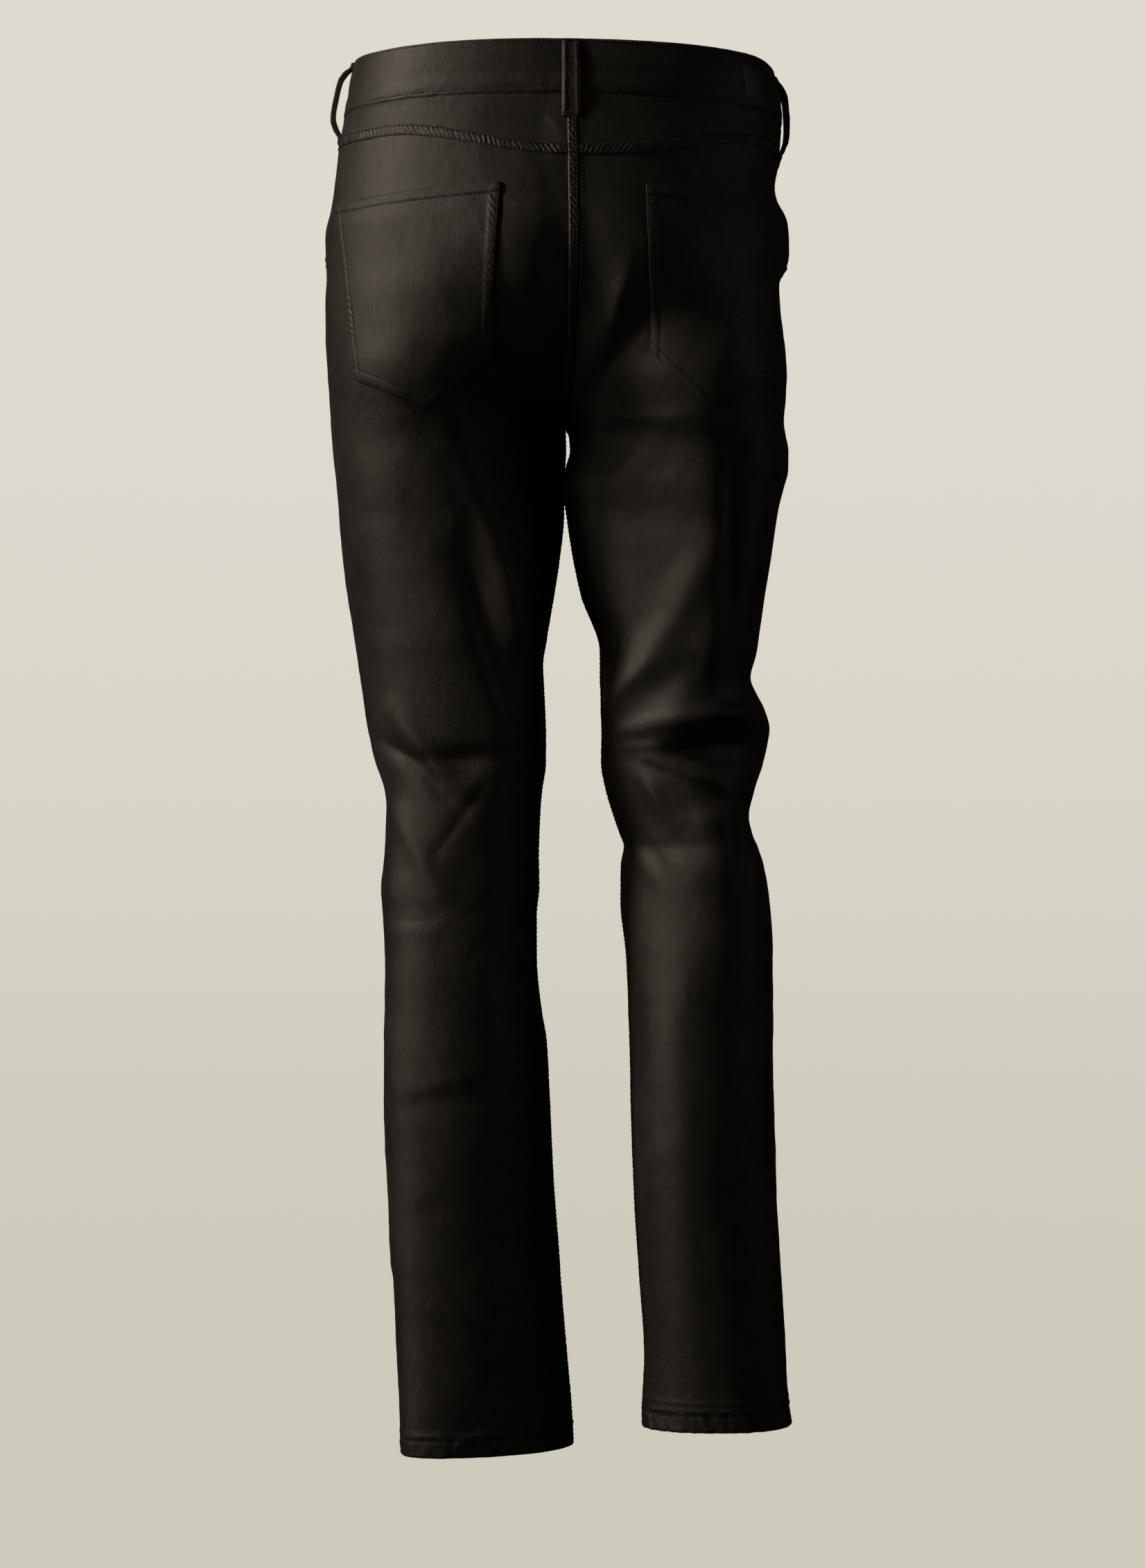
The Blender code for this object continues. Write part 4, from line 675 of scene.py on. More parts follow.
class Threads:
    """Collects the stitches of one region into one mesh."""

    def __init__(self, name):
        self.name, self.verts, self.faces, self.count = name, [], [], 0
        self.random = np.random.RandomState(sum(map(ord, name)))

    def add(self, c, t, n, longs, radii):
        v, f = threads(c, t, n, longs, radii)
        self.verts.append(v)
        self.faces.append(f + self.count)
        self.count += len(v)

    def row(self, surf, a, b, out, pitch=STITCH_PITCH, long=STITCH_LONG, radius=STITCH_RADIUS, slant=0.06):
        """A row of stitches along a path over a surface."""
        a, b = np.broadcast_arrays(np.asarray(a, float), np.asarray(b, float))
        t = np.linspace(0.0, 1.0, len(a))
        tt = np.linspace(0.0, 1.0, max(600, len(a)))
        aa, bb = np.interp(tt, t, a), np.interp(tt, t, b)
        s = along(surf(aa, bb, out))
        n = max(2, int(round(s[-1] / pitch)))
        at = (np.arange(n) + 0.5 + self.random.uniform(-0.05, 0.05, n)) * s[-1] / n
        qa, qb = np.interp(at, s, aa), np.interp(at, s, bb)
        c = surf(qa, qb, out)
        normal = surf(qa, qb, out + 1.0) - c
        normal /= np.linalg.norm(normal, axis=1, keepdims=True)
        ahead = surf(np.interp(at + 0.8, s, aa), np.interp(at + 0.8, s, bb), out)
        behind = surf(np.interp(at - 0.8, s, aa), np.interp(at - 0.8, s, bb), out)
        tangent = ahead - behind
        tangent -= normal * np.sum(tangent * normal, axis=1, keepdims=True)
        tangent /= np.linalg.norm(tangent, axis=1, keepdims=True)
        side = np.cross(normal, tangent)
        tangent = tangent + side * (slant + self.random.uniform(-0.05, 0.05, n))[:, None]
        tangent /= np.linalg.norm(tangent, axis=1, keepdims=True)
        longs = long * (1.0 + self.random.uniform(-0.08, 0.08, n)) * min(1.0, s[-1] / n / pitch * 1.0)
        self.add(c, tangent, normal, longs, radius * (1.0 + self.random.uniform(-0.1, 0.1, n)))

    def tack(self, surf, a, b, out, da, db, wide, count=16):
        """A bar tack: close stitches across a short bar from (a, b) to (a + da, b + db)."""
        t = np.linspace(0.0, 1.0, count)
        qa, qb = a + da * t, b + db * t
        c = surf(qa, qb, out)
        normal = surf(qa, qb, out + 1.0) - c
        normal /= np.linalg.norm(normal, axis=1, keepdims=True)
        run = np.gradient(c, axis=0)
        run /= np.linalg.norm(run, axis=1, keepdims=True)
        tangent = np.cross(normal, run) + run * (0.28 * np.where(np.arange(count) % 2, 1.0, -1.0))[:, None]
        tangent /= np.linalg.norm(tangent, axis=1, keepdims=True)
        self.add(c + normal * 0.08, tangent, normal, np.full(count, wide), np.full(count, 0.26))

    def done(self):
        verts = np.concatenate(self.verts)
        return new_mesh(self.name, verts, np.concatenate(self.faces), verts[:, [0, 2]], 80.0)


# ---------------------------------------------------------------------------
# Relief of cloth near seams
# ---------------------------------------------------------------------------
def hump(x, at, wide):
    return np.exp(-(((x - at) / wide) ** 2))


def edge_roll(d, deep=0.55):
    """The turned edge of a panel at a seam: it sinks into the join and swells just beside it."""
    return -deep * np.exp(-((d / 0.9) ** 2)) + 0.30 * hump(d, 2.1, 1.3)


def pucker(s, d, reach, size, seed, pitch=7.0):
    """Small uneven ripples across a seam: s along it, d away from it."""
    lean = s + 0.55 * d
    wave = 0.65 * noise(lean / pitch, d / (reach * 1.2) + 3.0, seed) + 0.35 * noise(lean / (pitch * 0.45), d / reach + 9.0, seed + 1)
    return size * wave * np.exp(-((d / reach) ** 1.3))


def ribs(s, v, pitch, lean, seed):
    """Ropy slanted ribs of a felled seam: s along it in mm, v across it in mm."""
    where = (s + lean * v) / pitch + 0.34 * noise(s / 13.0, v / 9.0, seed)
    wave = np.sin(2 * math.pi * where)
    wave = np.where(wave > 0, np.abs(wave) ** 0.8, 0.8 * wave)
    strong = 0.62 + 0.38 * noise(s / 17.0, 2.0, seed + 1)
    return wave * strong


def felled(name, surf, a, b, wide, lift, rib, pitch, lean, seed, rows=(0.16, 0.84), base=0.0):
    """A felled seam's raised band. a and b hold the surface's two places, in rows along it and columns across it."""
    p = surf(a, b, base)
    s = along(p[:, p.shape[1] // 2])[:, None]
    v = np.linspace(0.0, 1.0, p.shape[1])[None, :]
    d = np.minimum(v, 1.0 - v) * wide
    rise = lift * smooth(d / 0.9) - 0.35 * np.exp(-((d / 0.35) ** 2))
    for r in rows:
        rise = rise - 0.30 * hump(v * wide, r * wide, 0.6)
    inside = smooth((d - 0.9) / 1.1)
    rise = rise + rib * (0.72 + 0.45 * noise(s / 9.0, 0.0 * v, seed + 7)) * ribs(s, v * wide, pitch, lean, seed) * inside * 0.5 + 0.12 * noise(s / 5.0, v * 3.0, seed + 3) * smooth(d / 1.2)
    rise = rise + 0.16 * noise(s / 2.2, v * wide / 1.5, seed + 5) * inside
    outer = surf(a, b, base + rise)
    rows_n, cols_n = outer.shape[:2]
    uv = np.stack([v * wide + 0.0 * s, s + 0.0 * v], axis=-1).reshape(-1, 2)
    faces = grid_faces(rows_n, cols_n)
    n = surf(a, b, base + 1.0)[rows_n // 2, cols_n // 2] - p[rows_n // 2, cols_n // 2]
    i, j = rows_n // 2, cols_n // 2
    if np.dot(np.cross(outer[i + 1, j] - outer[i, j], outer[i, j + 1] - outer[i, j]), n) < 0:
        faces = faces[:, ::-1]
    return new_mesh(name, outer.reshape(-1, 3), faces, uv, 80.0)


# ---------------------------------------------------------------------------
# The form at full fineness, and where things are on it
# ---------------------------------------------------------------------------
halves = {side: Half(side, FOLDS, CREASES) for side in ("left", "right")}
POCKET_COLUMNS = ("corner", "x", "z")       # x to the right as seen from behind
POCKETS = {
    "left": (
        ("top_in", -45.9, -86.0),
        ("top_out", -165.7, -93.5),
        ("low_out", -151.1, -224.0),
        ("tip", -100.3, -246.0),
        ("low_in", -54.5, -211.0),
    ),
    "right": (
        ("top_in", 58.1, -87.0),
        ("top_out", 159.0, -92.0),
        ("low_out", 151.2, -222.0),
        ("tip", 104.2, -247.0),
        ("low_in", 63.2, -206.0),
    ),
}
LOOP_COLUMNS = ("name", "half", "from", "s", "top", "foot", "stand_off")
LOOPS = (
    ("loop_back", "left", "back", 4.5, 19.3, -37.5, 2.4),
    ("loop_side_left", "left", "side", 0.0, 19.0, -40.0, 8.6),
    ("loop_side_right", "right", "side", -5.0, 18.6, -43.0, 4.6),
    ("loop_front_left", "left", "front", 74.0, 18.6, -38.0, 2.4),
    ("loop_front_right", "right", "front", 74.0, 18.6, -38.0, 2.4),
)
PATCH = {"half": "right", "s0": 130.0, "s1": 163.0, "z0": 13.5, "z1": -13.5, "wall": 0.8}
made = {}


def keep(ob, node=None):
    made[ob.name] = ob
    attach(ob, "root")
    if node:
        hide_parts(node)
    return ob


def yoke_seam(half, u):
    s = u * 2.0 * float(np.interp(55.0, -half.z, half.back_len))
    return YOKE_CENTRE_Z + YOKE_SIDE_RISE * smooth((s - 10.0) / 140.0) - (2.0 if half.side == "right" else 0.0) * smooth((s - 20.0) / 60.0)


def gap_u(half, z):
    return 0.5 * (SEAM_GAP / 2) / np.interp(-np.asarray(z, float), -half.z, half.back_len)


def waist_points(p, z, out):
    """Points round the whole waist: p is u on the left half, and minus u on the right half."""
    p, z, out = np.broadcast_arrays(np.asarray(p, float), np.asarray(z, float), np.asarray(out, float))
    left, right = halves["left"].at(np.abs(p), z, out), halves["right"].at(np.abs(p), z, out)
    left[..., 0] -= SEAM_GAP / 2
    right[..., 0] += SEAM_GAP / 2
    pick = np.where(p > 0, 1.0, np.where(p < 0, 0.0, 0.5))[..., None]
    return left * pick + right * (1 - pick)


def hem_relief(half, s, z, seed):
    """The folded hem: a swollen edge, a stitch row above it that pulls the cloth in, and ripples between them."""
    up = z - HEM_Z[half.side]
    band = smooth((HEM_DEEP + 1.0 - up) / 2.2)
    relief = 0.45 * band - 0.50 * hump(up, HEM_DEEP - 2.6, 0.8) + 0.85 * hump(up, HEM_DEEP + 1.2, 1.1) * (0.7 + 0.5 * noise(s / 7.0, 0.0 * up, seed + 4)) + (0.5 if half.side == "right" else 0.0) * hump(up, HEM_DEEP + 7.5, 1.8)
    gathered = 0.65 + 0.55 * noise(s / 26.0, 0.0 * up, seed + 5)
    relief = relief + gathered * band * (0.85 * noise(s / 3.4 + 0.08 * up, up / 13.0, seed) + 0.42 * noise(s / 1.9 + 0.12 * up, up / 8.0, seed + 1))
    above = np.exp(-((np.maximum(up - HEM_DEEP, 0.0) / 9.0) ** 1.5)) * (1.0 - band)
    relief = relief + 0.35 * above * noise(s / 6.0 + 0.2 * up, up / 12.0, seed + 2) + 0.35 * hump(up, HEM_DEEP + 3.0, 2.4)
    return relief - 0.8 * np.exp(-((up / 0.8) ** 2))


def side_relief(half, d, z, seed):
    """Beside the plain side seam: rolled edges and light ripples where the two cloths pull."""
    return edge_roll(d, 0.5) + pucker(z, d, 8.0, 0.32, seed, 9.0)


def back_panel(half):
    side = half.side
    t = graded(0.55, 3.3, 250.0)
    t_top = graded(0.6, 2.7, 60.0, both=False)
    u0 = t * 0.5
    top = yoke_seam(half, u0) - SEAM_GAP / 2
    first = -126.0
    rows = [top + (first - top) * k for k in t_top[:-1]]
    low = np.concatenate(
        [np.arange(first, -430.0, -2.9), np.arange(-430.0, -670.0, -2.2), np.arange(-670.0, HEM_Z[side] + 26.0, -3.2)]
    )
    low = np.concatenate([low, np.linspace(HEM_Z[side] + 25.0, HEM_Z[side], 23)])
    z = np.array(rows + [np.full(u0.shape, r) for r in low])
    g = gap_u(half, z)
    lowg = np.where(z <= CROTCH_Z + 6.0, g, 0.0)
    u = lowg + (0.5 - g - lowg) * t[None, :]
    width = np.interp(-z, -half.z, half.back_len)
    s = u / 0.5 * width
    d_side, d_in = (0.5 - u) / 0.5 * width, s
    relief = side_relief(half, d_side, z, 31) + edge_roll(d_in, 0.45) + hem_relief(half, s, z, 41 if side == "left" else 51)
    relief = relief + pucker(z, d_in, 11.0, 0.42, 61, 6.5)
    under = yoke_seam(half, u) - z
    relief = relief + edge_roll(under, 0.4) + pucker(s, np.maximum(under, 0.0), 10.0, 0.38, 71, 5.5)
    thick = np.where(z < HEM_Z[side] + HEM_DEEP + 0.5, HEM_WALL, CLOTH)
    outer, inner = half.at(u, z, relief), half.at(u, z, np.minimum(relief, 0.2) - thick)
    ob = shell("cloth_back_" + side, outer, inner, sheet_uv(outer))
    keep(ob, "back_" + side)
    return ob


def front_panel(half):
    side = half.side
    a = np.sin(np.linspace(0.0, 1.0, 22) ** 1.15 * math.pi / 2)
    u0 = np.concatenate([0.5 + (SCOOP_U - 0.5) * a, SCOOP_U + (1.0 - SCOOP_U) * graded(1.2, 3.8, 150.0)[1:]])
    top = np.full(u0.shape, BAND_BOTTOM + TUCK)
    top[:22] -= (SCOOP_DEPTH + TUCK) * (1.0 - a ** 2) ** 0.45
    first = -150.0
    t_top = graded(0.8, 3.4, 100.0, both=False)
    rows = [top + (first - top) * k for k in t_top[:-1]]
    low = np.concatenate([np.arange(first, HEM_Z[side] + 26.0, -3.4), np.linspace(HEM_Z[side] + 25.0, HEM_Z[side], 19)])
    z = np.array(rows + [np.full(u0.shape, r) for r in low])
    g = gap_u(half, z)
    lowg = np.where(z <= CROTCH_Z + 6.0, g, 0.0)
    spread = smooth((-z - 130.0) / 160.0)
    even_u = 0.5 + 0.5 * graded(0.8, 3.8, 230.0)
    even_u = np.interp(np.linspace(0, 1, len(u0)), np.linspace(0, 1, len(even_u)), even_u)[None, :]
    u = (1 - spread) * u0[None, :] + spread * even_u
    u = 0.5 + g + (u - 0.5) / 0.5 * (0.5 - g - lowg)
    width = np.interp(-z, -half.z, half.front_len)
    s = (1.0 - u) / 0.5 * width
    d_side, d_in = (u - 0.5) / 0.5 * width, s
    relief = side_relief(half, d_side, z, 32) + edge_roll(d_in, 0.45) + hem_relief(half, s, z, 44 if side == "left" else 54)
    relief = relief + pucker(z, d_in, 10.0, 0.35, 63, 7.0)
    below = np.broadcast_to(top[None, :], z.shape) - z
    relief = relief + np.where(z > -140.0, edge_roll(np.maximum(below, 0.0), 0.35), 0.0)
    relief = tucked(relief, z)
    thick = np.where(z < HEM_Z[side] + HEM_DEEP + 0.5, HEM_WALL, CLOTH)
    outer, inner = half.at(u, z, relief), half.at(u, z, np.minimum(relief, 0.2) - thick)
    ob = shell("cloth_front_" + side, outer, inner, sheet_uv(outer))
    keep(ob, "front_" + side)
    inside = z < top[None, :] + 0.01
    mid = len(u0) // 2
    lens = np.interp(-z[:, -1], -half.z, half.front_len)
    return ob


TUCK = 3.0      # how far the cloth runs up inside the waistband


def tucked(relief, z):
    """Where the cloth goes into the waistband it lies below the band's surface."""
    inside = smooth((z - BAND_BOTTOM + 0.6) / 0.9)
    return relief * (1.0 - inside) - 0.45 * inside


def yoke(half):
    side = half.side
    t = graded(0.5, 2.6, 250.0)
    u0 = t * 0.5
    top = np.full(u0.shape, BAND_BOTTOM + TUCK)
    low = yoke_seam(half, u0) + SEAM_GAP / 2
    k = graded(0.5, 1.6, 33.0)
    z = np.array([top + (low - top) * q for q in k])
    g = gap_u(half, z)
    u = (0.5 - g) * t[None, :]
    width = np.interp(-z, -half.z, half.back_len)
    s = u / 0.5 * width
    relief = edge_roll((0.5 - u) / 0.5 * width, 0.4) + edge_roll(s, 0.3) + edge_roll(np.maximum(BAND_BOTTOM - z, 0.0), 0.35)
    relief = relief + pucker(s, np.maximum(BAND_BOTTOM - z, 0.0), 7.0, 0.34, 81, 6.0) + pucker(s, z - low[None, :], 7.0, 0.30, 83, 5.0)
    relief = relief + pucker(z, s, 9.0, 0.3, 85, 6.0)
    relief = tucked(relief, z)
    outer, inner = half.at(u, z, relief), half.at(u, z, np.minimum(relief, 0.2) - np.where(z > BAND_BOTTOM, 0.6, CLOTH))
    ob = shell("cloth_yoke_" + side, outer, inner, sheet_uv(outer))
    keep(ob, "yoke_" + side)
    return ob


def facing(half):
    side = half.side
    t = np.linspace(0.0, 1.0, 26)
    z = np.array([np.full(t.shape, BAND_BOTTOM + TUCK + (-SCOOP_DEPTH - TUCK - 18.0) * k) for k in np.linspace(0.0, 1.0, 40)])
    g = gap_u(half, z)
    u = 0.5 + g + (SCOOP_U + 0.03 - 0.5 - g) * t[None, :]
    lift = FACING_LIFT - 0.2 * half.mouth_bulge(u, z) + 0.25 * noise(u * 60.0, z / 16.0, 91) + 2.4 * smooth((z - BAND_BOTTOM + 8.0) / 8.0)
    outer, inner = half.at(u, z, lift), half.at(u, z, lift - FACING_WALL)
    ob = shell("cloth_pocket_facing_" + side, outer, inner, sheet_uv(outer))
    keep(ob, "pocket_facing_" + side)
    width = float(np.linalg.norm(np.diff(outer[20], axis=0), axis=1).sum())
    return ob


# --- back pockets ------------------------------------------------------------
POCKET_HEM, POCKET_SIDE = 8.2, 8.6     # how deep the folded top and the folded sides are
TIP_AT = 0.5


def pocket_place(side, a, t):
    """(x, z) at a share a across and t down a pocket."""
    c = {r[0]: np.array(r[1:]) for r in POCKETS[side]}
    a, t = np.broadcast_arrays(np.asarray(a, float), np.asarray(t, float))
    top = c["top_in"] * (1 - a[..., None]) + c["top_out"] * a[..., None]
    k = np.where(a <= TIP_AT, a / TIP_AT, (a - TIP_AT) / (1 - TIP_AT))[..., None]
    low = np.where((a <= TIP_AT)[..., None], c["low_in"] * (1 - k) + c["tip"] * k, c["tip"] * (1 - k) + c["low_out"] * k)
    p = top * (1 - t[..., None]) + low * t[..., None]
    return p[..., 0], p[..., 1]


def pocket_loose(u, z):
    return np.maximum(2.8 * smooth((u - 0.22) / 0.09), smooth((-z - 165.0) / 50.0))


def pocket_surface(side):
    half = halves[side]

    def surf(a, t, out):
        x, z = pocket_place(side, a, t)
        u = half.u_at_x(x, z)
        return half.at(u, z, POCKET_LIFT * (1.0 + 0.6 * pocket_loose(u, z)) + POCKET_WALL + out)

    return surf


def lengths(p, axis):
    """Distances along one axis of a sheet of points, from its first row or column."""
    d = np.linalg.norm(np.diff(p, axis=axis), axis=-1)
    return np.concatenate([np.zeros_like(np.take(d, [0], axis=axis)), np.cumsum(d, axis=axis)], axis=axis)


def pocket(side, loud):
    surf = pocket_surface(side)
    fine = np.linspace(0.0, 1.0, 300)
    run = along(surf(fine, 0.5, 0.0))
    wide, high = run[-1], along(surf(0.25, fine, 0.0))[-1]
    share = np.concatenate([np.linspace(0.0, 9.6, 16), np.linspace(9.6, wide - 9.6, 46)[1:], np.linspace(wide - 9.6, wide, 13)[1:]])
    a = np.interp(share, run, fine)
    t = np.concatenate([np.linspace(0.0, 0.08, 16), np.linspace(0.08, 0.93, 104)[1:], np.linspace(0.93, 1.0, 14)[1:]])
    A, T = np.meshgrid(a, t)
    flat = surf(A, T, 0.0)
    di = lengths(flat, 1)
    do = di[:, -1:] - di
    dt = lengths(flat, 0)
    db = (dt[-1:, :] - dt) * 0.92
    x, z = pocket_place(side, A, T)
    s = di
    near = np.minimum(np.minimum(di, do), np.minimum(dt, db))
    relief = -0.55 * np.exp(-((near / 0.7) ** 2))
    relief = relief + 0.80 * smooth((POCKET_HEM + 0.8 - dt) / 1.6) - 0.45 * hump(dt, POCKET_HEM - 0.2, 0.7)
    side_band = 0.55 * smooth((POCKET_SIDE - di) / 1.4) + 0.3 * smooth((POCKET_SIDE - 1.5 - do) / 1.4) + 0.22 * smooth((POCKET_SIDE - 1.0 - db) / 1.4)
    relief = relief + side_band * smooth((dt - 2.0) / 3.0)
    for d in (di, do, db):
        relief = relief - 0.30 * hump(d, 1.6, 0.6) - 0.30 * hump(d, 7.2, 0.6)
    rope = ribs(-z, di, 5.5, 1.1, 141) * smooth((di - 1.6) / 1.2) * smooth((7.4 - di) / 1.2) * smooth((dt - 8.0) / 4.0) * smooth((db - 8.0) / 30.0)
    relief = relief + loud * 0.46 * rope
    rope = ribs(-z, do, 5.0, -1.0, 144) * smooth((do - 1.6) / 1.2) * smooth((7.4 - do) / 1.2) * smooth((dt - 2.0) / 3.0) * smooth((db - 8.0) / 30.0)
    relief = relief + 0.30 * rope
    relief = relief + 0.30 * pucker(s, dt, 9.0, 1.0, 143, 5.0) + 0.30 * pucker(-z, di, 14.0, 1.0, 145, 7.0) + 0.22 * pucker(-z, do, 9.0, 1.0, 147, 6.0)
    relief = relief + 0.22 * pucker(s, db, 9.0, 1.0, 149, 6.0) + 0.35 * noise(s / 37.0, z / 52.0, 151) * smooth(near / 12.0)
    outer = surf(A, T, relief)
    inner = surf(A, T, np.minimum(relief, 0.0) - POCKET_WALL)
    uv = np.stack([s, z], axis=-1)
    ob = shell("cloth_pocket_" + side, outer, inner, uv)
    keep(ob, "pocket_" + side)
    wide_top, long_mid = along(surf(fine, 0.0, 0.0))[-1], along(surf(TIP_AT, fine, 0.0))[-1]
    return ob


def inset(surf, part, off):
    """A path over a pocket that runs off mm inside its edge: part is top, inner, outer, low_in or low_out."""
    if part in ("inner", "outer"):
        t = np.linspace(0.012, 1.0, 50)[:, None]
        a = np.linspace(0.0, 0.3, 90)[None, :]
        if part == "outer":
            a = 1.0 - a
        run = lengths(surf(a + 0.0 * t, t + 0.0 * a, 0.0), 1)
        at = np.array([np.interp(off, run[i], a[0]) for i in range(len(t))])
        keep_on = slice(0, 50 - int(round(off / 150.0 * 50)))
        return at[keep_on], t[keep_on, 0]
    if part == "top":
        a = np.linspace(0.01, 0.99, 60)
    elif part == "low_in":
        a = np.linspace(0.5 * off / 75.0, TIP_AT, 40)
    else:
        a = np.linspace(TIP_AT, 1 - 0.5 * off / 75.0, 40)
    t = np.linspace(0.0, 0.2, 80)[:, None]
    if part != "top":
        t = 1.0 - t
        off = off * 1.1
    run = lengths(surf(a[None, :] + 0.0 * t, t + 0.0 * a[None, :], 0.0), 0)
    at = np.array([np.interp(off, run[:, j], t[:, 0]) for j in range(len(a))])
    return a, at


# --- waistband ---------------------------------------------------------------
def waistband():
    length = float(np.interp(0.0, -halves["left"].z, halves["left"].front_len))
    under = 0.5 * UNDERLAP / length
    p = np.concatenate([np.linspace(-1.0, 0.0, 195), np.linspace(0.0, 1.0 - 0.0006, 195)[1:]])
    z1 = BAND_TOP + (BAND_BOTTOM - BAND_TOP) * graded(0.45, 2.3, 40.5)
    full = -(BAND_OUT - BAND_IN + SEAM_GAP)
    sink = full * (1.0 - smooth((p + 1.0) / (0.5 * 28.0 / length)))
    q = np.linspace(1.0 - under, 1.0, 18)[:-1]
    P = np.concatenate([q, p])[None, :]
    S = np.concatenate([np.full(q.shape, full), sink])[None, :]
    Z = z1[:, None] + 0.0 * P
    s = P * 425.0 + 0.0 * Z
    d_low, d_top = Z - BAND_BOTTOM, BAND_TOP - Z
    relief = -1.1 * np.exp(-((d_low / 1.5) ** 2)) - 0.6 * np.exp(-((d_top / 0.8) ** 2))
    relief = relief - 0.42 * hump(d_low, 3.9, 0.8) - 0.18 * hump(d_top, 1.6, 0.6)
    relief = relief + 0.42 * hump(Z, 4.0, 9.5) - 0.30 * hump(Z, -4.5, 5.0) + 0.35 * hump(Z, -11.0, 3.6)
    ripple = 0.6 * noise(s / 5.2 + 0.25 * Z, d_low / 7.0, 161) + 0.4 * noise(s / 2.6 + 0.4 * Z, d_low / 4.0, 162)
    relief = relief + 0.42 * ripple * np.exp(-((np.abs(d_low - 2.6) / 3.8) ** 1.6)) + 0.16 * noise(s / 6.0, d_top / 5.0, 163) * np.exp(-d_top / 5.0)
    relief = relief + 0.30 * noise(s / 46.0, Z / 30.0, 164) + 0.12 * noise(s / 15.0, Z / 10.0, 165)
    outer = waist_points(P, Z, BAND_OUT + S + relief)
    inner = waist_points(P, Z, BAND_IN + S + 0.3 * np.exp(-((np.minimum(d_low, d_top) / 0.9) ** 2)))
    uv = np.stack([s, Z], axis=-1)
    ob = shell("cloth_waistband", outer, inner, uv)
    keep(ob, "waistband")
    round_mm = float(np.linalg.norm(np.diff(outer[len(z1) // 2], axis=0), axis=1).sum())
    return ob


def loop_surface(row):
    """A belt loop's run: its two places are how far across (mm) and how far down (0 to 1)."""
    get = dict(zip(LOOP_COLUMNS, row))
    half = halves[get["half"]]
    top, foot, off = get["top"], get["foot"], get["stand_off"]
    base = BAND_OUT + SEAM_GAP
    zs = [top, top - 3.5, top - 7.5, top - 13.0] + list(np.linspace(top - 13.0, foot + 15.0, 5)[1:]) + [foot + 9.0, foot + 5.0, foot]
    lifts = [base, base + 0.2, base + 0.55 * (off - base), base + 0.9 * (off - base), off, off, off, 0.9 * off, 0.5 * off, SEAM_GAP + 0.15, SEAM_GAP]
    fine = np.linspace(0.0, 1.0, 200)
    coarse = np.linspace(0.0, 1.0, len(zs))
    kernel = np.hanning(23)
    kernel /= kernel.sum()

    def soft(v):
        v = np.interp(fine, coarse, v)
        w = np.convolve(np.pad(v, 11, mode="edge"), kernel, mode="valid")
        blend = np.clip(np.minimum(fine, 1 - fine) / 0.08, 0, 1)
        return v * (1 - blend) + w * blend

    zf, lf = soft(zs), soft(lifts)

    def surf(x, t, out):
        x, t = np.broadcast_arrays(np.asarray(x, float), np.asarray(t, float))
        z, lift = np.interp(t, fine, zf), np.interp(t, fine, lf)
        if get["from"] == "back":
            p = half.u_at(get["s"] + x, 0.0)
        elif get["from"] == "side":
            p = 0.5 + half.u_at(get["s"] + x, 0.0)
        else:
            p = half.u_front(get["s"] - x, 0.0)
        if get["half"] == "right":
            p = -p
        return waist_points(p, z, lift + LOOP_WALL + out)

    return surf


LOOP_BODY = {"back": 0.0, "side": 1.3, "front": 0.0}


def loop(row):
    get = dict(zip(LOOP_COLUMNS, row))
    surf = loop_surface(row)
    x = np.linspace(-0.5, 0.5, 21) * LOOP_WIDTH
    t = np.linspace(0.0, 1.0, 64)
    X, T = np.meshgrid(x, t)
    seed = 200 + len(get["name"])
    edge = LOOP_WIDTH / 2 - np.abs(X)
    relief = -0.5 * np.exp(-((edge / 0.7) ** 2)) + 0.50 * hump(edge, 2.3, 1.15) - 0.12 * hump(np.abs(X), 0.0, 2.2)
    relief = relief + 0.18 * noise(X / 2.5, T * 16.0, seed) + 0.14 * noise(X / 1.2, T * 34.0, seed + 1)
    relief = relief * smooth(np.minimum(T, 1 - T) / 0.05 + 0.35)
    # the folded cloth is thickest where the loop stands free
    free = LOOP_BODY[get["from"]] * smooth(np.minimum(T, 1.0 - T) / 0.25)
    outer, inner = surf(X, T, relief + 0.35 * free), surf(X, T, -LOOP_WALL - free)
    ob = shell("cloth_" + get["name"], outer, inner, np.stack([X, T * 58.0], axis=-1))
    keep(ob, get["name"])
    return surf


def patch():
    half = halves["right"]
    s = PATCH["s0"] + (PATCH["s1"] - PATCH["s0"]) * graded(0.5, 1.8, 33.0)
    u = half.u_at(s, 0.0)[None, :]
    z = (PATCH["z0"] + (PATCH["z1"] - PATCH["z0"]) * graded(0.5, 1.8, 27.0))[:, None]
    lift = BAND_OUT + SEAM_GAP
    X, Z = np.broadcast_arrays(s[None, :], z)
    d = np.minimum(np.minimum(X - PATCH["s0"], PATCH["s1"] - X), np.minimum(PATCH["z0"] - Z, Z - PATCH["z1"]))
    relief = -0.3 * np.exp(-((d / 0.5) ** 2)) + 0.12 * noise(X / 6.0, Z / 6.0, 221) - 0.15 * hump(d, 1.6, 0.4)
    outer = waist_points(-u, z, lift + PATCH["wall"] + relief)
    inner = waist_points(-u, z, lift + 0.0 * relief)
    ob = shell("cloth_waist_patch", outer, inner, np.stack([X, Z], axis=-1))
    keep(ob, "waist_patch")
    return ob


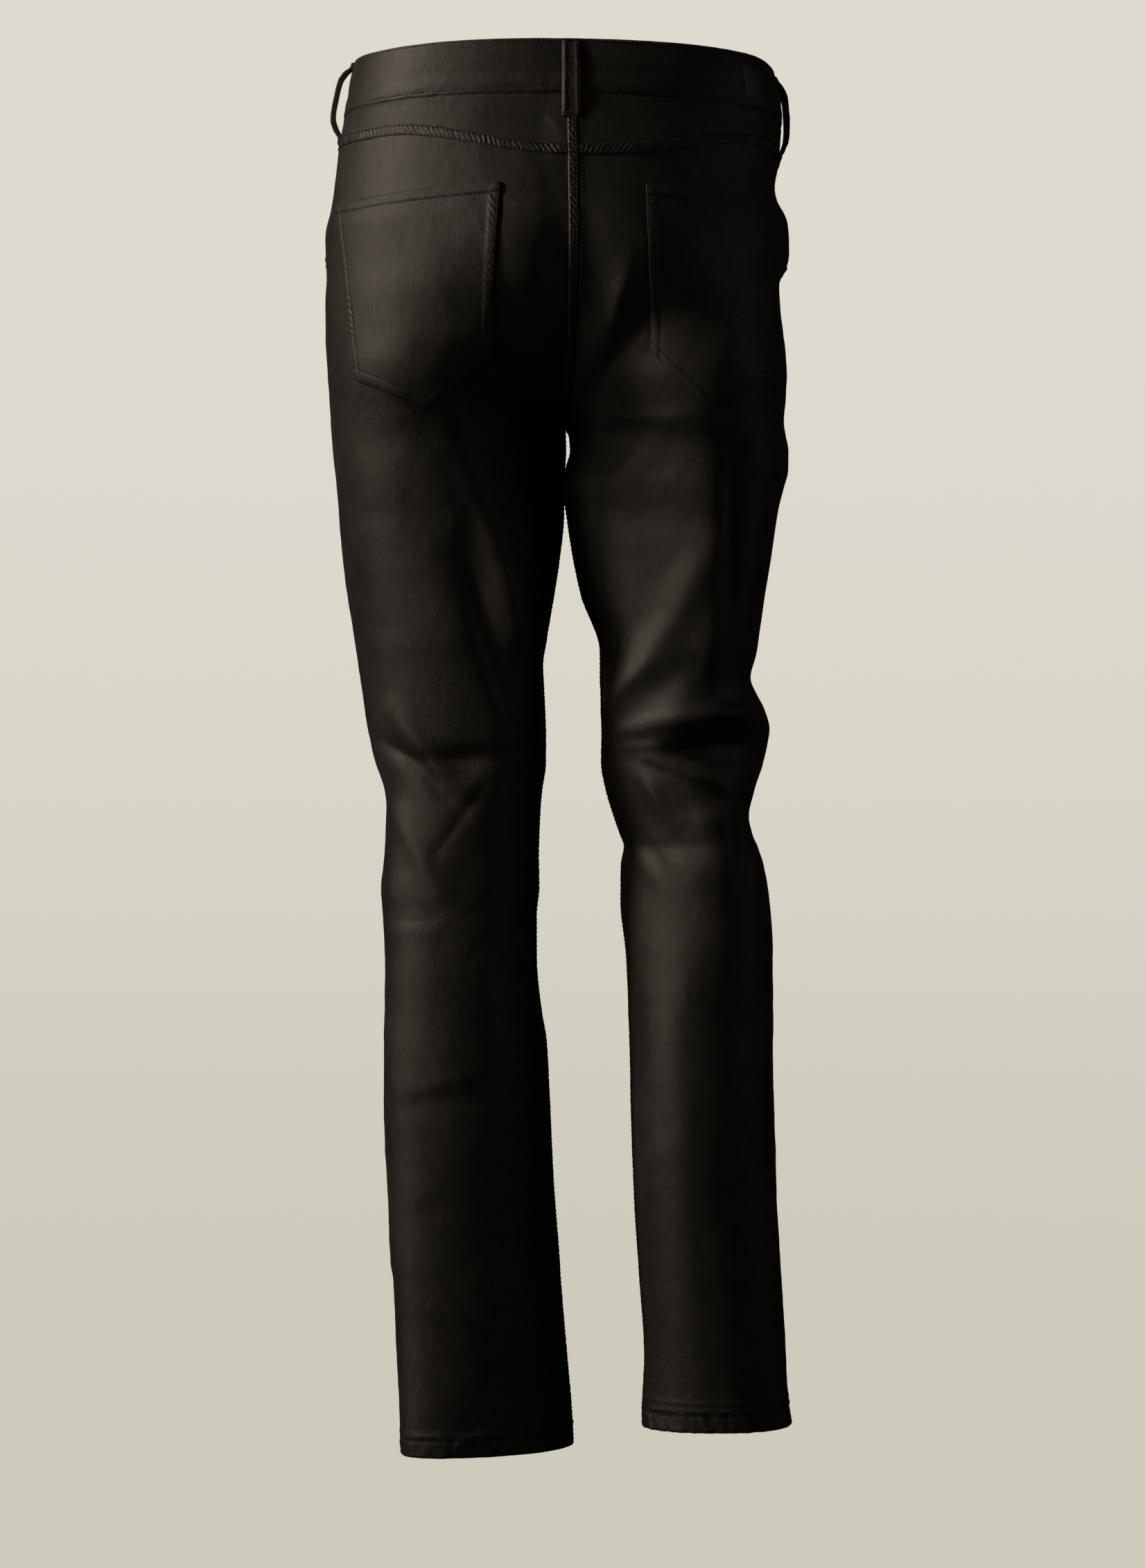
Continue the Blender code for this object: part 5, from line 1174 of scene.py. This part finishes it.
# --- zip and button ----------------------------------------------------------
def zip_strip():
    length = float(np.interp(60.0, -halves["left"].z, halves["left"].front_len))
    off = np.concatenate([np.linspace(-0.5, -0.07, 12), np.linspace(0.07, 0.5, 12)]) * ZIP_WIDTH
    p = np.sign(off) * (1.0 - 0.5 * np.abs(off) / length)
    z = np.linspace(BAND_BOTTOM - SEAM_GAP, BAND_BOTTOM - SEAM_GAP - ZIP_LONG, 60)[:, None]
    weave = 0.06 * np.cos(math.pi * np.arange(60))[:, None] + 0.0 * p[None, :]
    outer = waist_points(p[None, :], z, ZIP_LIFT + 0.0 * weave)
    inner = waist_points(p[None, :], z, ZIP_LIFT - 0.9 - weave)
    ob = shell("zip_tape", outer, inner, np.stack(np.broadcast_arrays(off[None, :], z), axis=-1))
    keep(ob, "fly_zip")
    # the closed chain: a tooth from either tape in turn
    verts, faces = [], []
    profile = ((0.0, 0.55), (1.1, 0.75), (2.0, 0.7), (3.1, 0.35))
    count = 44
    for k in range(count):
        zk = BAND_BOTTOM - SEAM_GAP - 2.0 - (ZIP_LONG - 4.0) * k / (count - 1)
        middle = waist_points(1.0, zk, ZIP_LIFT - 0.6)
        middle[0] = 0.0
        lean = -1.0 if k % 2 else 1.0
        base = len(verts)
        for x, half_high in profile:
            for dz, dy in ((half_high, 0.55), (half_high, -0.95), (-half_high, -0.95), (-half_high, 0.55)):
                verts.append(middle + np.array([lean * (3.0 - x) - lean * 0.9, -dy * 0.9 + 0.55, dz]))
        for r in range(3):
            for q in range(4):
                a, b = base + r * 4 + q, base + r * 4 + (q + 1) % 4
                faces.append((a, b, b + 4, a + 4))
        faces.append((base, base + 1, base + 2, base + 3))
        faces.append((base + 12, base + 13, base + 14, base + 15))
    teeth = new_mesh("zip_chain", np.array(verts), np.array(faces), None, 30.0)
    keep(teeth, None)
    return ob, teeth


def button():
    half = halves["left"]
    u = half.u_front(BUTTON_IN, 0.0)
    here = half.at(u, 0.0, BAND_OUT + SEAM_GAP)
    n = half.at(u, 0.0, 1.0) - half.at(u, 0.0, 0.0)
    n = n / np.linalg.norm(n)
    across = np.cross([0.0, 0.0, 1.0], n)
    across /= np.linalg.norm(across)
    up = np.cross(n, across)
    profile = (
        (0.0, 0.25), (0.55, 0.25), (0.80, 0.25), (0.93, 0.45), (0.985, 0.8), (1.0, 1.2), (1.0, 1.7), (0.985, 2.2), (0.95, 2.6),
        (0.90, 2.85), (0.85, 2.97), (0.80, 2.95), (0.765, 2.80), (0.74, 2.60), (0.71, 2.42), (0.66, 2.32), (0.56, 2.30),
        (0.40, 2.32), (0.27, 2.34), (0.24, 2.42), (0.21, 2.50), (0.14, 2.55), (0.0, 2.56),
    )
    sides = 72
    ang = np.linspace(0.0, 2 * math.pi, sides, endpoint=False)
    verts = []
    for r, h in profile:
        rr = max(r, 0.002) * BUTTON_RADIUS
        verts.append(here + np.outer(np.cos(ang) * rr, across) + np.outer(np.sin(ang) * rr, up) + n * h)
    verts = np.concatenate(verts)
    faces = []
    for i in range(len(profile) - 1):
        for q in range(sides):
            a, b = i * sides + q, i * sides + (q + 1) % sides
            faces.append((a, b, b + sides, a + sides))
    ob = new_mesh("tack_button", verts, np.array(faces), None, 40.0)
    keep(ob, "waist_button")
    return ob


# ---------------------------------------------------------------------------
# Materials
# ---------------------------------------------------------------------------
class Nodes:
    """A material's node tree, with short ways to add and join nodes."""

    def __init__(self, name):
        self.mat = bpy.data.materials.new(name)
        self.mat.use_nodes = True
        self.tree = self.mat.node_tree
        self.shader = self.tree.nodes["Principled BSDF"]

    def node(self, kind, **values):
        n = self.tree.nodes.new(kind)
        for key, value in values.items():
            if hasattr(n, key):
                setattr(n, key, value)
            else:
                n.inputs[key.replace("_", " ")].default_value = value
        return n

    def link(self, a, b):
        self.tree.links.new(a, b)

    def scaled(self, source, sx, sy, sz=1.0, turn=0.0):
        m = self.node("ShaderNodeMapping")
        m.inputs["Scale"].default_value = (sx, sy, sz)
        m.inputs["Rotation"].default_value = (0.0, 0.0, turn)
        self.link(source, m.inputs["Vector"])
        return m.outputs["Vector"]

    def noise(self, vector, scale, detail=2.0, rough=0.5):
        n = self.node("ShaderNodeTexNoise")
        n.inputs["Scale"].default_value = scale
        n.inputs["Detail"].default_value = detail
        n.inputs["Roughness"].default_value = rough
        self.link(vector, n.inputs["Vector"])
        return n.outputs["Fac"]

    def math(self, kind, a, b=None, c=None):
        n = self.node("ShaderNodeMath")
        n.operation = kind
        for socket, value in zip(n.inputs, (a, b, c)):
            if value is None:
                continue
            if isinstance(value, (int, float)):
                socket.default_value = value
            else:
                self.link(value, socket)
        return n.outputs[0]

    def span(self, value, a, b, c, d):
        n = self.node("ShaderNodeMapRange")
        n.inputs["From Min"].default_value, n.inputs["From Max"].default_value = a, b
        n.inputs["To Min"].default_value, n.inputs["To Max"].default_value = c, d
        self.link(value, n.inputs["Value"])
        return n.outputs["Result"]

    def mix(self, fac, a, b):
        n = self.node("ShaderNodeMix")
        n.data_type = "RGBA"
        for socket, value in ((n.inputs["Factor"], fac), (n.inputs["A"], a), (n.inputs["B"], b)):
            if isinstance(value, (tuple, float, int)):
                socket.default_value = value
            else:
                self.link(value, socket)
        return n.outputs["Result"]

    def bump(self, height, strength, distance, normal=None):
        n = self.node("ShaderNodeBump")
        n.inputs["Strength"].default_value = strength
        n.inputs["Distance"].default_value = distance
        self.link(height, n.inputs["Height"])
        if normal is not None:
            self.link(normal, n.inputs["Normal"])
        return n.outputs["Normal"]


def twill_material(name, base=(0.0090, 0.0082, 0.0068, 1.0), light=(0.019, 0.0174, 0.0143, 1.0), rough=0.50, grain=1.0):
    """Coated twill: near-black, a satin sheen broken by the diagonal weave, upright slubs and light specks."""
    m = Nodes(name)
    uv = m.node("ShaderNodeUVMap", uv_map="cloth").outputs["UV"]
    # the weave's diagonal, in mm, with an uneven pitch
    wobble = m.noise(m.scaled(uv, 0.20, 0.05), 1.0, 3.0, 0.6)
    wave = m.node("ShaderNodeTexWave", wave_type="BANDS", bands_direction="X", wave_profile="SIN")
    wave.inputs["Scale"].default_value = 0.36
    wave.inputs["Distortion"].default_value = 1.4
    wave.inputs["Detail"].default_value = 2.0
    wave.inputs["Detail Scale"].default_value = 2.2
    m.link(m.scaled(uv, 1.0, 1.0, 1.0, math.radians(62.0)), wave.inputs["Vector"])
    thread = m.noise(m.scaled(uv, 2.0, 1.15), 1.0, 3.0, 0.7)
    slub = m.noise(m.scaled(uv, 1.15, 0.055), 1.0, 3.0, 0.6)
    cross = m.noise(m.scaled(uv, 0.10, 1.5), 1.0, 2.0, 0.6)
    broad = m.noise(m.scaled(uv, 0.018, 0.011), 1.0, 3.0, 0.55)
    height = m.math("ADD", m.math("MULTIPLY", wave.outputs["Fac"], 0.30), m.math("MULTIPLY", thread, 0.75))
    height = m.math("ADD", height, m.math("MULTIPLY", slub, 0.30))
    height = m.math("ADD", height, m.math("MULTIPLY", cross, 0.25))
    crumple = m.noise(m.scaled(uv, 0.11, 0.08), 1.0, 4.0, 0.6)
    fine = m.bump(height, 0.62 * grain, 0.00036)
    normal = m.bump(crumple, 0.30 * grain, 0.0016, fine)
    m.link(normal, m.shader.inputs["Normal"])
    speck = m.noise(m.scaled(uv, 1.35, 1.35), 1.0, 1.0, 0.5)
    specks = m.span(speck, 0.67, 0.78, 0.0, 1.0)
    colour = m.mix(m.span(broad, 0.36, 0.64, 0.0, 1.0), base, light)
    streak = m.mix(m.span(slub, 0.40, 0.66, 0.0, 0.25), colour, (0.030, 0.027, 0.022, 1.0))
    m.link(m.mix(m.math("MULTIPLY", specks, 0.75), streak, (0.11, 0.10, 0.082, 1.0)), m.shader.inputs["Base Color"])
    roughness = m.math("ADD", m.span(broad, 0.3, 0.7, rough - 0.05, rough + 0.06), m.span(thread, 0.3, 0.7, -0.07, 0.09))
    m.link(roughness, m.shader.inputs["Roughness"])
    level = m.math("MULTIPLY", m.span(slub, 0.32, 0.68, 0.40, 0.60), m.span(thread, 0.3, 0.7, 0.8, 1.2))
    m.link(level, m.shader.inputs["Specular IOR Level"])
    m.shader.inputs["Specular Tint"].default_value = (1.0, 0.965, 0.86, 1.0)
    m.shader.inputs["Sheen Weight"].default_value = 0.02
    m.shader.inputs["Sheen Roughness"].default_value = 0.5
    m.shader.inputs["Sheen Tint"].default_value = (0.9, 0.85, 0.72, 1.0)
    return m.mat


def thread_material():
    """Dark twisted sewing thread."""
    m = Nodes("thread")
    place = m.node("ShaderNodeTexCoord").outputs["Object"]
    twist = m.noise(m.scaled(place, 3200.0, 3200.0, 3200.0), 1.0, 2.0)
    tone = m.noise(m.scaled(place, 90.0, 90.0, 90.0), 1.0, 2.0)
    m.link(m.mix(tone, (0.0045, 0.0040, 0.0034, 1.0), (0.013, 0.0115, 0.0095, 1.0)), m.shader.inputs["Base Color"])
    m.link(m.span(twist, 0.3, 0.7, 0.40, 0.62), m.shader.inputs["Roughness"])
    m.link(m.bump(twist, 0.5, 0.0001), m.shader.inputs["Normal"])
    return m.mat


def patch_material():
    """A plain patch, smoother and a little glossier than the twill."""
    m = Nodes("patch_cloth")
    uv = m.node("ShaderNodeUVMap", uv_map="cloth").outputs["UV"]
    pebble = m.noise(m.scaled(uv, 0.9, 0.9), 1.0, 4.0, 0.6)
    m.link(m.mix(pebble, (0.010, 0.0092, 0.008, 1.0), (0.020, 0.018, 0.015, 1.0)), m.shader.inputs["Base Color"])
    m.link(m.span(pebble, 0.3, 0.7, 0.36, 0.50), m.shader.inputs["Roughness"])
    m.link(m.bump(pebble, 0.3, 0.0003), m.shader.inputs["Normal"])
    return m.mat


def metal_material():
    """Dull plain metal with fine turning marks."""
    m = Nodes("dull_metal")
    place = m.node("ShaderNodeTexCoord").outputs["Object"]
    worn = m.noise(m.scaled(place, 700.0, 700.0, 700.0), 1.0, 4.0, 0.6)
    fine = m.noise(m.scaled(place, 5000.0, 900.0, 5000.0), 1.0, 2.0)
    m.link(m.mix(worn, (0.30, 0.28, 0.25, 1.0), (0.42, 0.40, 0.36, 1.0)), m.shader.inputs["Base Color"])
    m.shader.inputs["Metallic"].default_value = 1.0
    m.link(m.span(worn, 0.3, 0.7, 0.30, 0.48), m.shader.inputs["Roughness"])
    m.link(m.bump(fine, 0.25, 0.0001), m.shader.inputs["Normal"])
    return m.mat


def tape_material():
    """Dark woven zip tape."""
    m = Nodes("zip_tape_weave")
    uv = m.node("ShaderNodeUVMap", uv_map="cloth").outputs["UV"]
    wave = m.node("ShaderNodeTexWave", wave_type="BANDS", bands_direction="Y", wave_profile="SIN")
    wave.inputs["Scale"].default_value = 0.35
    m.link(uv, wave.inputs["Vector"])
    grain = m.noise(m.scaled(uv, 2.0, 2.0), 1.0, 2.0)
    m.link(m.mix(grain, (0.018, 0.016, 0.014, 1.0), (0.036, 0.033, 0.028, 1.0)), m.shader.inputs["Base Color"])
    m.shader.inputs["Roughness"].default_value = 0.75
    m.link(m.bump(m.math("ADD", wave.outputs["Fac"], grain), 0.5, 0.0003), m.shader.inputs["Normal"])
    return m.mat


def backdrop_material():
    """Pale studio paper that glows, with painted shade: the glow is a little darker towards the floor and towards the
    very top.
    """
    mat = bpy.data.materials.new("studio_paper")
    mat.use_nodes = True
    tree = mat.node_tree
    tree.nodes.clear()
    out = tree.nodes.new("ShaderNodeOutputMaterial")
    glow = tree.nodes.new("ShaderNodeEmission")
    place = tree.nodes.new("ShaderNodeTexCoord")
    split = tree.nodes.new("ShaderNodeSeparateXYZ")
    ramp = tree.nodes.new("ShaderNodeValToRGB")
    span = tree.nodes.new("ShaderNodeMapRange")
    tree.links.new(place.outputs["Object"], split.inputs[0])
    tree.links.new(split.outputs["Z"], span.inputs["Value"])
    span.inputs["From Min"].default_value, span.inputs["From Max"].default_value = -3.0, 3.0
    tree.links.new(span.outputs["Result"], ramp.inputs["Fac"])
    # painted shade: the glow's colour dims with height towards the floor and slightly at the top, standing in for light
    # falling off across the sweep
    painted_shade_stops = ((0.0, (0.560, 0.535, 0.450)), (0.24, (0.600, 0.575, 0.490)), (0.42, (0.700, 0.668, 0.588)), (0.60, (0.735, 0.705, 0.635)), (1.0, (0.720, 0.690, 0.615)))
    while len(ramp.color_ramp.elements) < len(painted_shade_stops):
        ramp.color_ramp.elements.new(0.5)
    for element, (at, colour) in zip(ramp.color_ramp.elements, painted_shade_stops):
        element.position = at
        element.color = (*colour, 1.0)
    tree.links.new(ramp.outputs["Color"], glow.inputs["Color"])
    tree.links.new(glow.outputs[0], out.inputs[0])
    return mat


# ---------------------------------------------------------------------------
# The pieces
# ---------------------------------------------------------------------------
twill = twill_material("coated_twill")
twill_band = twill_material("coated_twill_band", rough=0.50, grain=0.8)
thread = thread_material()
cloth_parts = []
for half in halves.values():
    cloth_parts += [back_panel(half), front_panel(half), yoke(half), facing(half), pocket(half.side, 1.0 if half.side == "left" else 0.45)]
cloth_parts.append(waistband())
loops = {}
for row in LOOPS:
    loops[row[0]] = loop(row)
    cloth_parts.append(made["cloth_" + row[0]])
patch_part = patch()
tape, chain = zip_strip()
tack = button()

# felled seams
for side, half in halves.items():
    t = np.linspace(0.0, 1.0, 430)[:, None]
    u = 0.0006 + (0.4985 - 0.0006) * t + 0.0 * np.linspace(0, 1, 12)[None, :]
    z = yoke_seam(half, u) + 2.4 - 8.8 * np.linspace(0.0, 1.0, 12)[None, :]
    ob = felled("seam_yoke_" + side, half.at, u, z, 8.8, 0.75, 1.15 if side == "left" else 1.0, 3.9, 0.62, 301 if side == "left" else 311)
    keep(ob)
    cloth_parts.append(ob)
left = halves["left"]
z = np.linspace(-21.5, CROTCH_Z + 3.0, 340)[:, None] + 0.0 * np.linspace(0, 1, 11)[None, :]
s = 0.5 + 7.1 * np.linspace(0.0, 1.0, 11)[None, :] + 0.0 * z
ob = felled("seam_centre_back", left.at, left.u_at(s, z), z, 7.1, 1.0, 1.35, 5.7, 1.15, 321, base=0.25)
keep(ob)
cloth_parts.append(ob)
# inseams: the back leg's edge lies folded over the front's
for side, half in halves.items():
    z = np.linspace(CROTCH_Z - 2.0, HEM_Z[side] + 1.0, 900)[:, None] + 0.0 * np.linspace(0, 1, 9)[None, :]
    s = 0.4 + 7.2 * np.linspace(0.0, 1.0, 9)[None, :] + 0.0 * z
    ob = felled("seam_inner_" + side, half.at, half.u_at(s, z), z, 7.2, 0.75, 0.45, 6.2, 0.9, 331 if side == "left" else 341, base=0.1)
    keep(ob)
    cloth_parts.append(ob)

# stitches
rows = Threads("stitches_waistband")
p = np.concatenate([np.linspace(-0.985, -0.0004, 400), np.linspace(0.0004, 0.998, 400)])
rows.row(waist_points, p, np.full(p.shape, BAND_BOTTOM + 3.9), BAND_OUT - 0.22)
rows.row(waist_points, p, np.full(p.shape, BAND_TOP - 1.6), BAND_OUT - 0.02)
stitch_groups = [rows]
for side, half in halves.items():
    rows = Threads("stitches_yoke_" + side)
    u = np.linspace(0.004, 0.497, 200)
    for k in (0.16, 0.84):
        rows.row(half.at, u, yoke_seam(half, u) + 2.4 - 8.8 * k, 0.68)
    stitch_groups.append(rows)
rows = Threads("stitches_centre_back")
z = np.linspace(-38.0, CROTCH_Z + 6.0, 200)
for k in (0.16, 0.84):
    rows.row(lambda zz, ss, out: left.at(left.u_at(ss, zz), zz, out), z, np.full(z.shape, 0.5 + 7.1 * k), 1.2)
stitch_groups.append(rows)
for side, half in halves.items():
    rows = Threads("stitches_pocket_" + side)
    surf = pocket_surface(side)
    rows.row(surf, *inset(surf, "top", POCKET_HEM - 0.2), 0.12)
    for part in ("inner", "outer", "low_in", "low_out"):
        for off in (1.6, 7.2):
            rows.row(surf, *inset(surf, part, off), 0.08, pitch=2.9, long=2.2, radius=0.24)
    w = 120.0
    rows.tack(surf, 1.2 / w, 0.010, 0.6, 8.5 / w, 0.004, 2.0, 22)
    rows.tack(surf, 1 - 9.5 / w, 0.010, 0.5, 8.5 / w, 0.004, 2.0, 22)
    stitch_groups.append(rows)
    rows = Threads("stitches_legs_" + side)
    z = np.linspace(CROTCH_Z - 4.0, HEM_Z[side] + 2.0, 600)
    for k in (0.17, 0.83):
        rows.row(lambda zz, ss, out, h=half: h.at(h.u_at(ss, zz), zz, out), z, np.full(z.shape, 0.4 + 7.2 * k), 0.62, pitch=3.4, long=2.6)
    u = np.concatenate([np.linspace(0.004, 0.996, 400)])
    rows.row(half.at, u, np.full(u.shape, HEM_Z[side] + HEM_DEEP - 2.6), 0.05, pitch=3.3, long=2.5)
    stitch_groups.append(rows)
    # the front: pocket mouths, fly and side tops
    rows = Threads("stitches_front_" + side)
    a = np.sin(np.linspace(0.0, 1.0, 120) * math.pi / 2)
    for off in (1.6, 7.4):
        uu = 0.5 + 0.003 + (SCOOP_U - 0.5) * a + off / 300.0 * a
        zz = BAND_BOTTOM - SEAM_GAP - (SCOOP_DEPTH + off) * (1.0 - a ** 2) ** 0.45 - 0.4
        rows.row(half.at, uu, np.minimum(zz, BAND_BOTTOM - 0.8), 0.05)
    if side == "left":
        for off in (0.0, 5.5):
            k = np.linspace(0.0, 1.0, 80)
            reach = 36.0 - off
            ss = np.concatenate([np.full(60, reach), reach * np.cos(k * math.pi / 2) + 0.8])
            zz = np.concatenate([np.linspace(-22.0, -96.0 + off, 60), -96.0 + off - (34.0 - 0.0) * np.sin(k * math.pi / 2)])
            rows.row(lambda s_, z_, out, h=half: h.at(h.u_front(s_, z_), z_, out), ss, zz, 0.05)
    for s_ in (1.9,):
        zz = np.linspace(-134.0, CROTCH_Z + 8.0, 60)
        rows.row(lambda s2, z_, out, h=half: h.at(h.u_front(s2, z_), z_, out), np.full(zz.shape, s_), zz, 0.25)
    stitch_groups.append(rows)
rows = Threads("stitches_loops")
for row in LOOPS:
    surf = loops[row[0]]
    t = np.linspace(0.06, 0.93, 100)
    for x in (-4.1, 4.1):
        rows.row(surf, np.full(t.shape, x), t, 0.32, pitch=2.9, long=2.2, radius=0.22)
    rows.tack(surf, -5.6, 0.955, 0.05, 11.2, 0.0, 1.9, 26)
    rows.tack(surf, -5.6, 0.035, 0.05, 11.2, 0.0, 1.9, 26)
stitch_groups.append(rows)
rows = Threads("stitches_patch")
s0, s1, z0, z1 = PATCH["s0"] + 1.6, PATCH["s1"] - 1.6, PATCH["z0"] - 1.6, PATCH["z1"] + 1.6
path = np.array([(s0, z0), (s1, z0), (s1, z1), (s0, z1), (s0, z0)])
for (sa, za), (sb, zb) in zip(path, path[1:]):
    rows.row(lambda ss, zz, out: waist_points(-halves["right"].u_at(ss, 0.0), zz, out), np.linspace(sa, sb, 30), np.linspace(za, zb, 30), BAND_OUT + SEAM_GAP + PATCH["wall"] - 0.05, pitch=2.9, long=2.2, radius=0.2)
stitch_groups.append(rows)
for rows in stitch_groups:
    ob = rows.done()
    keep(ob)
    ob.data.materials.append(thread)

for ob in cloth_parts:
    ob.data.materials.append(twill_band if ob.name.startswith("seam_") else twill)
patch_part.data.materials.append(patch_material())
metal = metal_material()
tack.data.materials.append(metal)
chain.data.materials.append(metal)
tape.data.materials.append(tape_material())
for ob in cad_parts.values():
    ob.data.materials.clear()
    ob.data.materials.append(twill)

# ---------------------------------------------------------------------------
# Studio: one seamless bowl of paper, soft light from the left, a dim fill
# ---------------------------------------------------------------------------
BOWL_RADIUS, BOWL_FLOOR, BOWL_FILLET, BOWL_HEIGHT = 6.5, -1.35, 2.2, 9.0


def bowl():
    profile = [(0.0, BOWL_FLOOR), (BOWL_RADIUS - BOWL_FILLET, BOWL_FLOOR)]
    for a in np.linspace(0.0, math.pi / 2, 24)[1:]:
        profile.append((BOWL_RADIUS - BOWL_FILLET + BOWL_FILLET * math.sin(a), BOWL_FLOOR + BOWL_FILLET * (1 - math.cos(a))))
    profile.append((BOWL_RADIUS, BOWL_HEIGHT))
    profile.append((0.0, BOWL_HEIGHT + 1.0))
    sides = 96
    ang = np.linspace(0.0, 2 * math.pi, sides, endpoint=False)
    verts = np.concatenate([np.stack([max(r, 0.001) * np.cos(ang), max(r, 0.001) * np.sin(ang), np.full(sides, z)], axis=1) for r, z in profile]) * 1000.0
    faces = []
    for i in range(len(profile) - 1):
        for q in range(sides):
            a, b = i * sides + q, i * sides + (q + 1) % sides
            faces.append((a, a + sides, b + sides, b))
    ob = new_mesh("studio_bowl", verts, np.array(faces), None, 80.0)
    ob.data.materials.append(backdrop_material())
    ob.visible_glossy = False
    ob.visible_diffuse = False
    ob.visible_shadow = False
    return ob


bowl()
RIGHT = Vector((-math.cos(TURN), math.sin(TURN), 0.0))     # to the right as the camera sees it
NEAR = Vector((math.sin(TURN), math.cos(TURN), 0.0))       # towards the camera
UP = Vector((0.0, 0.0, 1.0))


def softbox(name, across, near, up, aim, wide, high, watts, colour):
    light = bpy.data.lights.new(name, "AREA")
    light.shape = "RECTANGLE"
    light.size, light.size_y = wide, high
    light.energy = watts
    light.color = colour
    ob = bpy.data.objects.new(name, light)
    ob.location = RIGHT * across + NEAR * near + UP * up
    aim = Vector(aim)
    ob.rotation_euler = (aim - ob.location).to_track_quat("-Z", "Y").to_euler()
    ob.visible_camera = False
    bpy.context.scene.collection.objects.link(ob)
    return ob


softbox("key_light", -1.885, 0.67, 0.95, (0.0, 0.0, -0.42), 0.34, 0.7, 37.0, (1.0, 0.885, 0.775))
softbox("low_light", -1.75, 1.25, -0.55, (0.0, 0.0, -0.90), 0.8, 0.8, 1.3, (1.0, 0.885, 0.775)).data.spread = math.radians(75.0)
softbox("rim_light", 2.4, 0.5, 0.2, (0.0, 0.0, -0.5), 0.8, 1.8, 2.2, (1.0, 0.91, 0.82))
softbox("fill_light", 0.6, 3.4, 0.8, (0.0, 0.0, -0.5), 2.0, 2.0, 0.6, (1.0, 0.91, 0.82))
softbox("front_light", -0.4, -2.2, 2.4, (0.0, 0.0, -0.4), 1.2, 1.2, 40.0, (1.0, 0.91, 0.82))

world = bpy.data.worlds.new("studio_air")
bpy.context.scene.world = world
world.use_nodes = True
world.node_tree.nodes["Background"].inputs["Color"].default_value = (1.0, 0.97, 0.92, 1.0)
world.node_tree.nodes["Background"].inputs["Strength"].default_value = 0.006

view = bpy.context.scene.view_settings
view.view_transform = "Standard"
view.look = "None"
view.exposure = 0.0
view.gamma = 1.0

cam_data = bpy.data.cameras.new("camera")
cam_data.lens = 92.1
cam_data.sensor_width = 36.0
cam_data.clip_start, cam_data.clip_end = 0.05, 60.0
cam = bpy.data.objects.new("camera", cam_data)
cam.location = NEAR * 3.0 + RIGHT * 0.0057 + UP * -0.519
cam.rotation_mode = "QUATERNION"
cam.rotation_quaternion = NEAR.to_track_quat("Z", "Y")
bpy.context.scene.collection.objects.link(cam)
bpy.context.scene.camera = cam
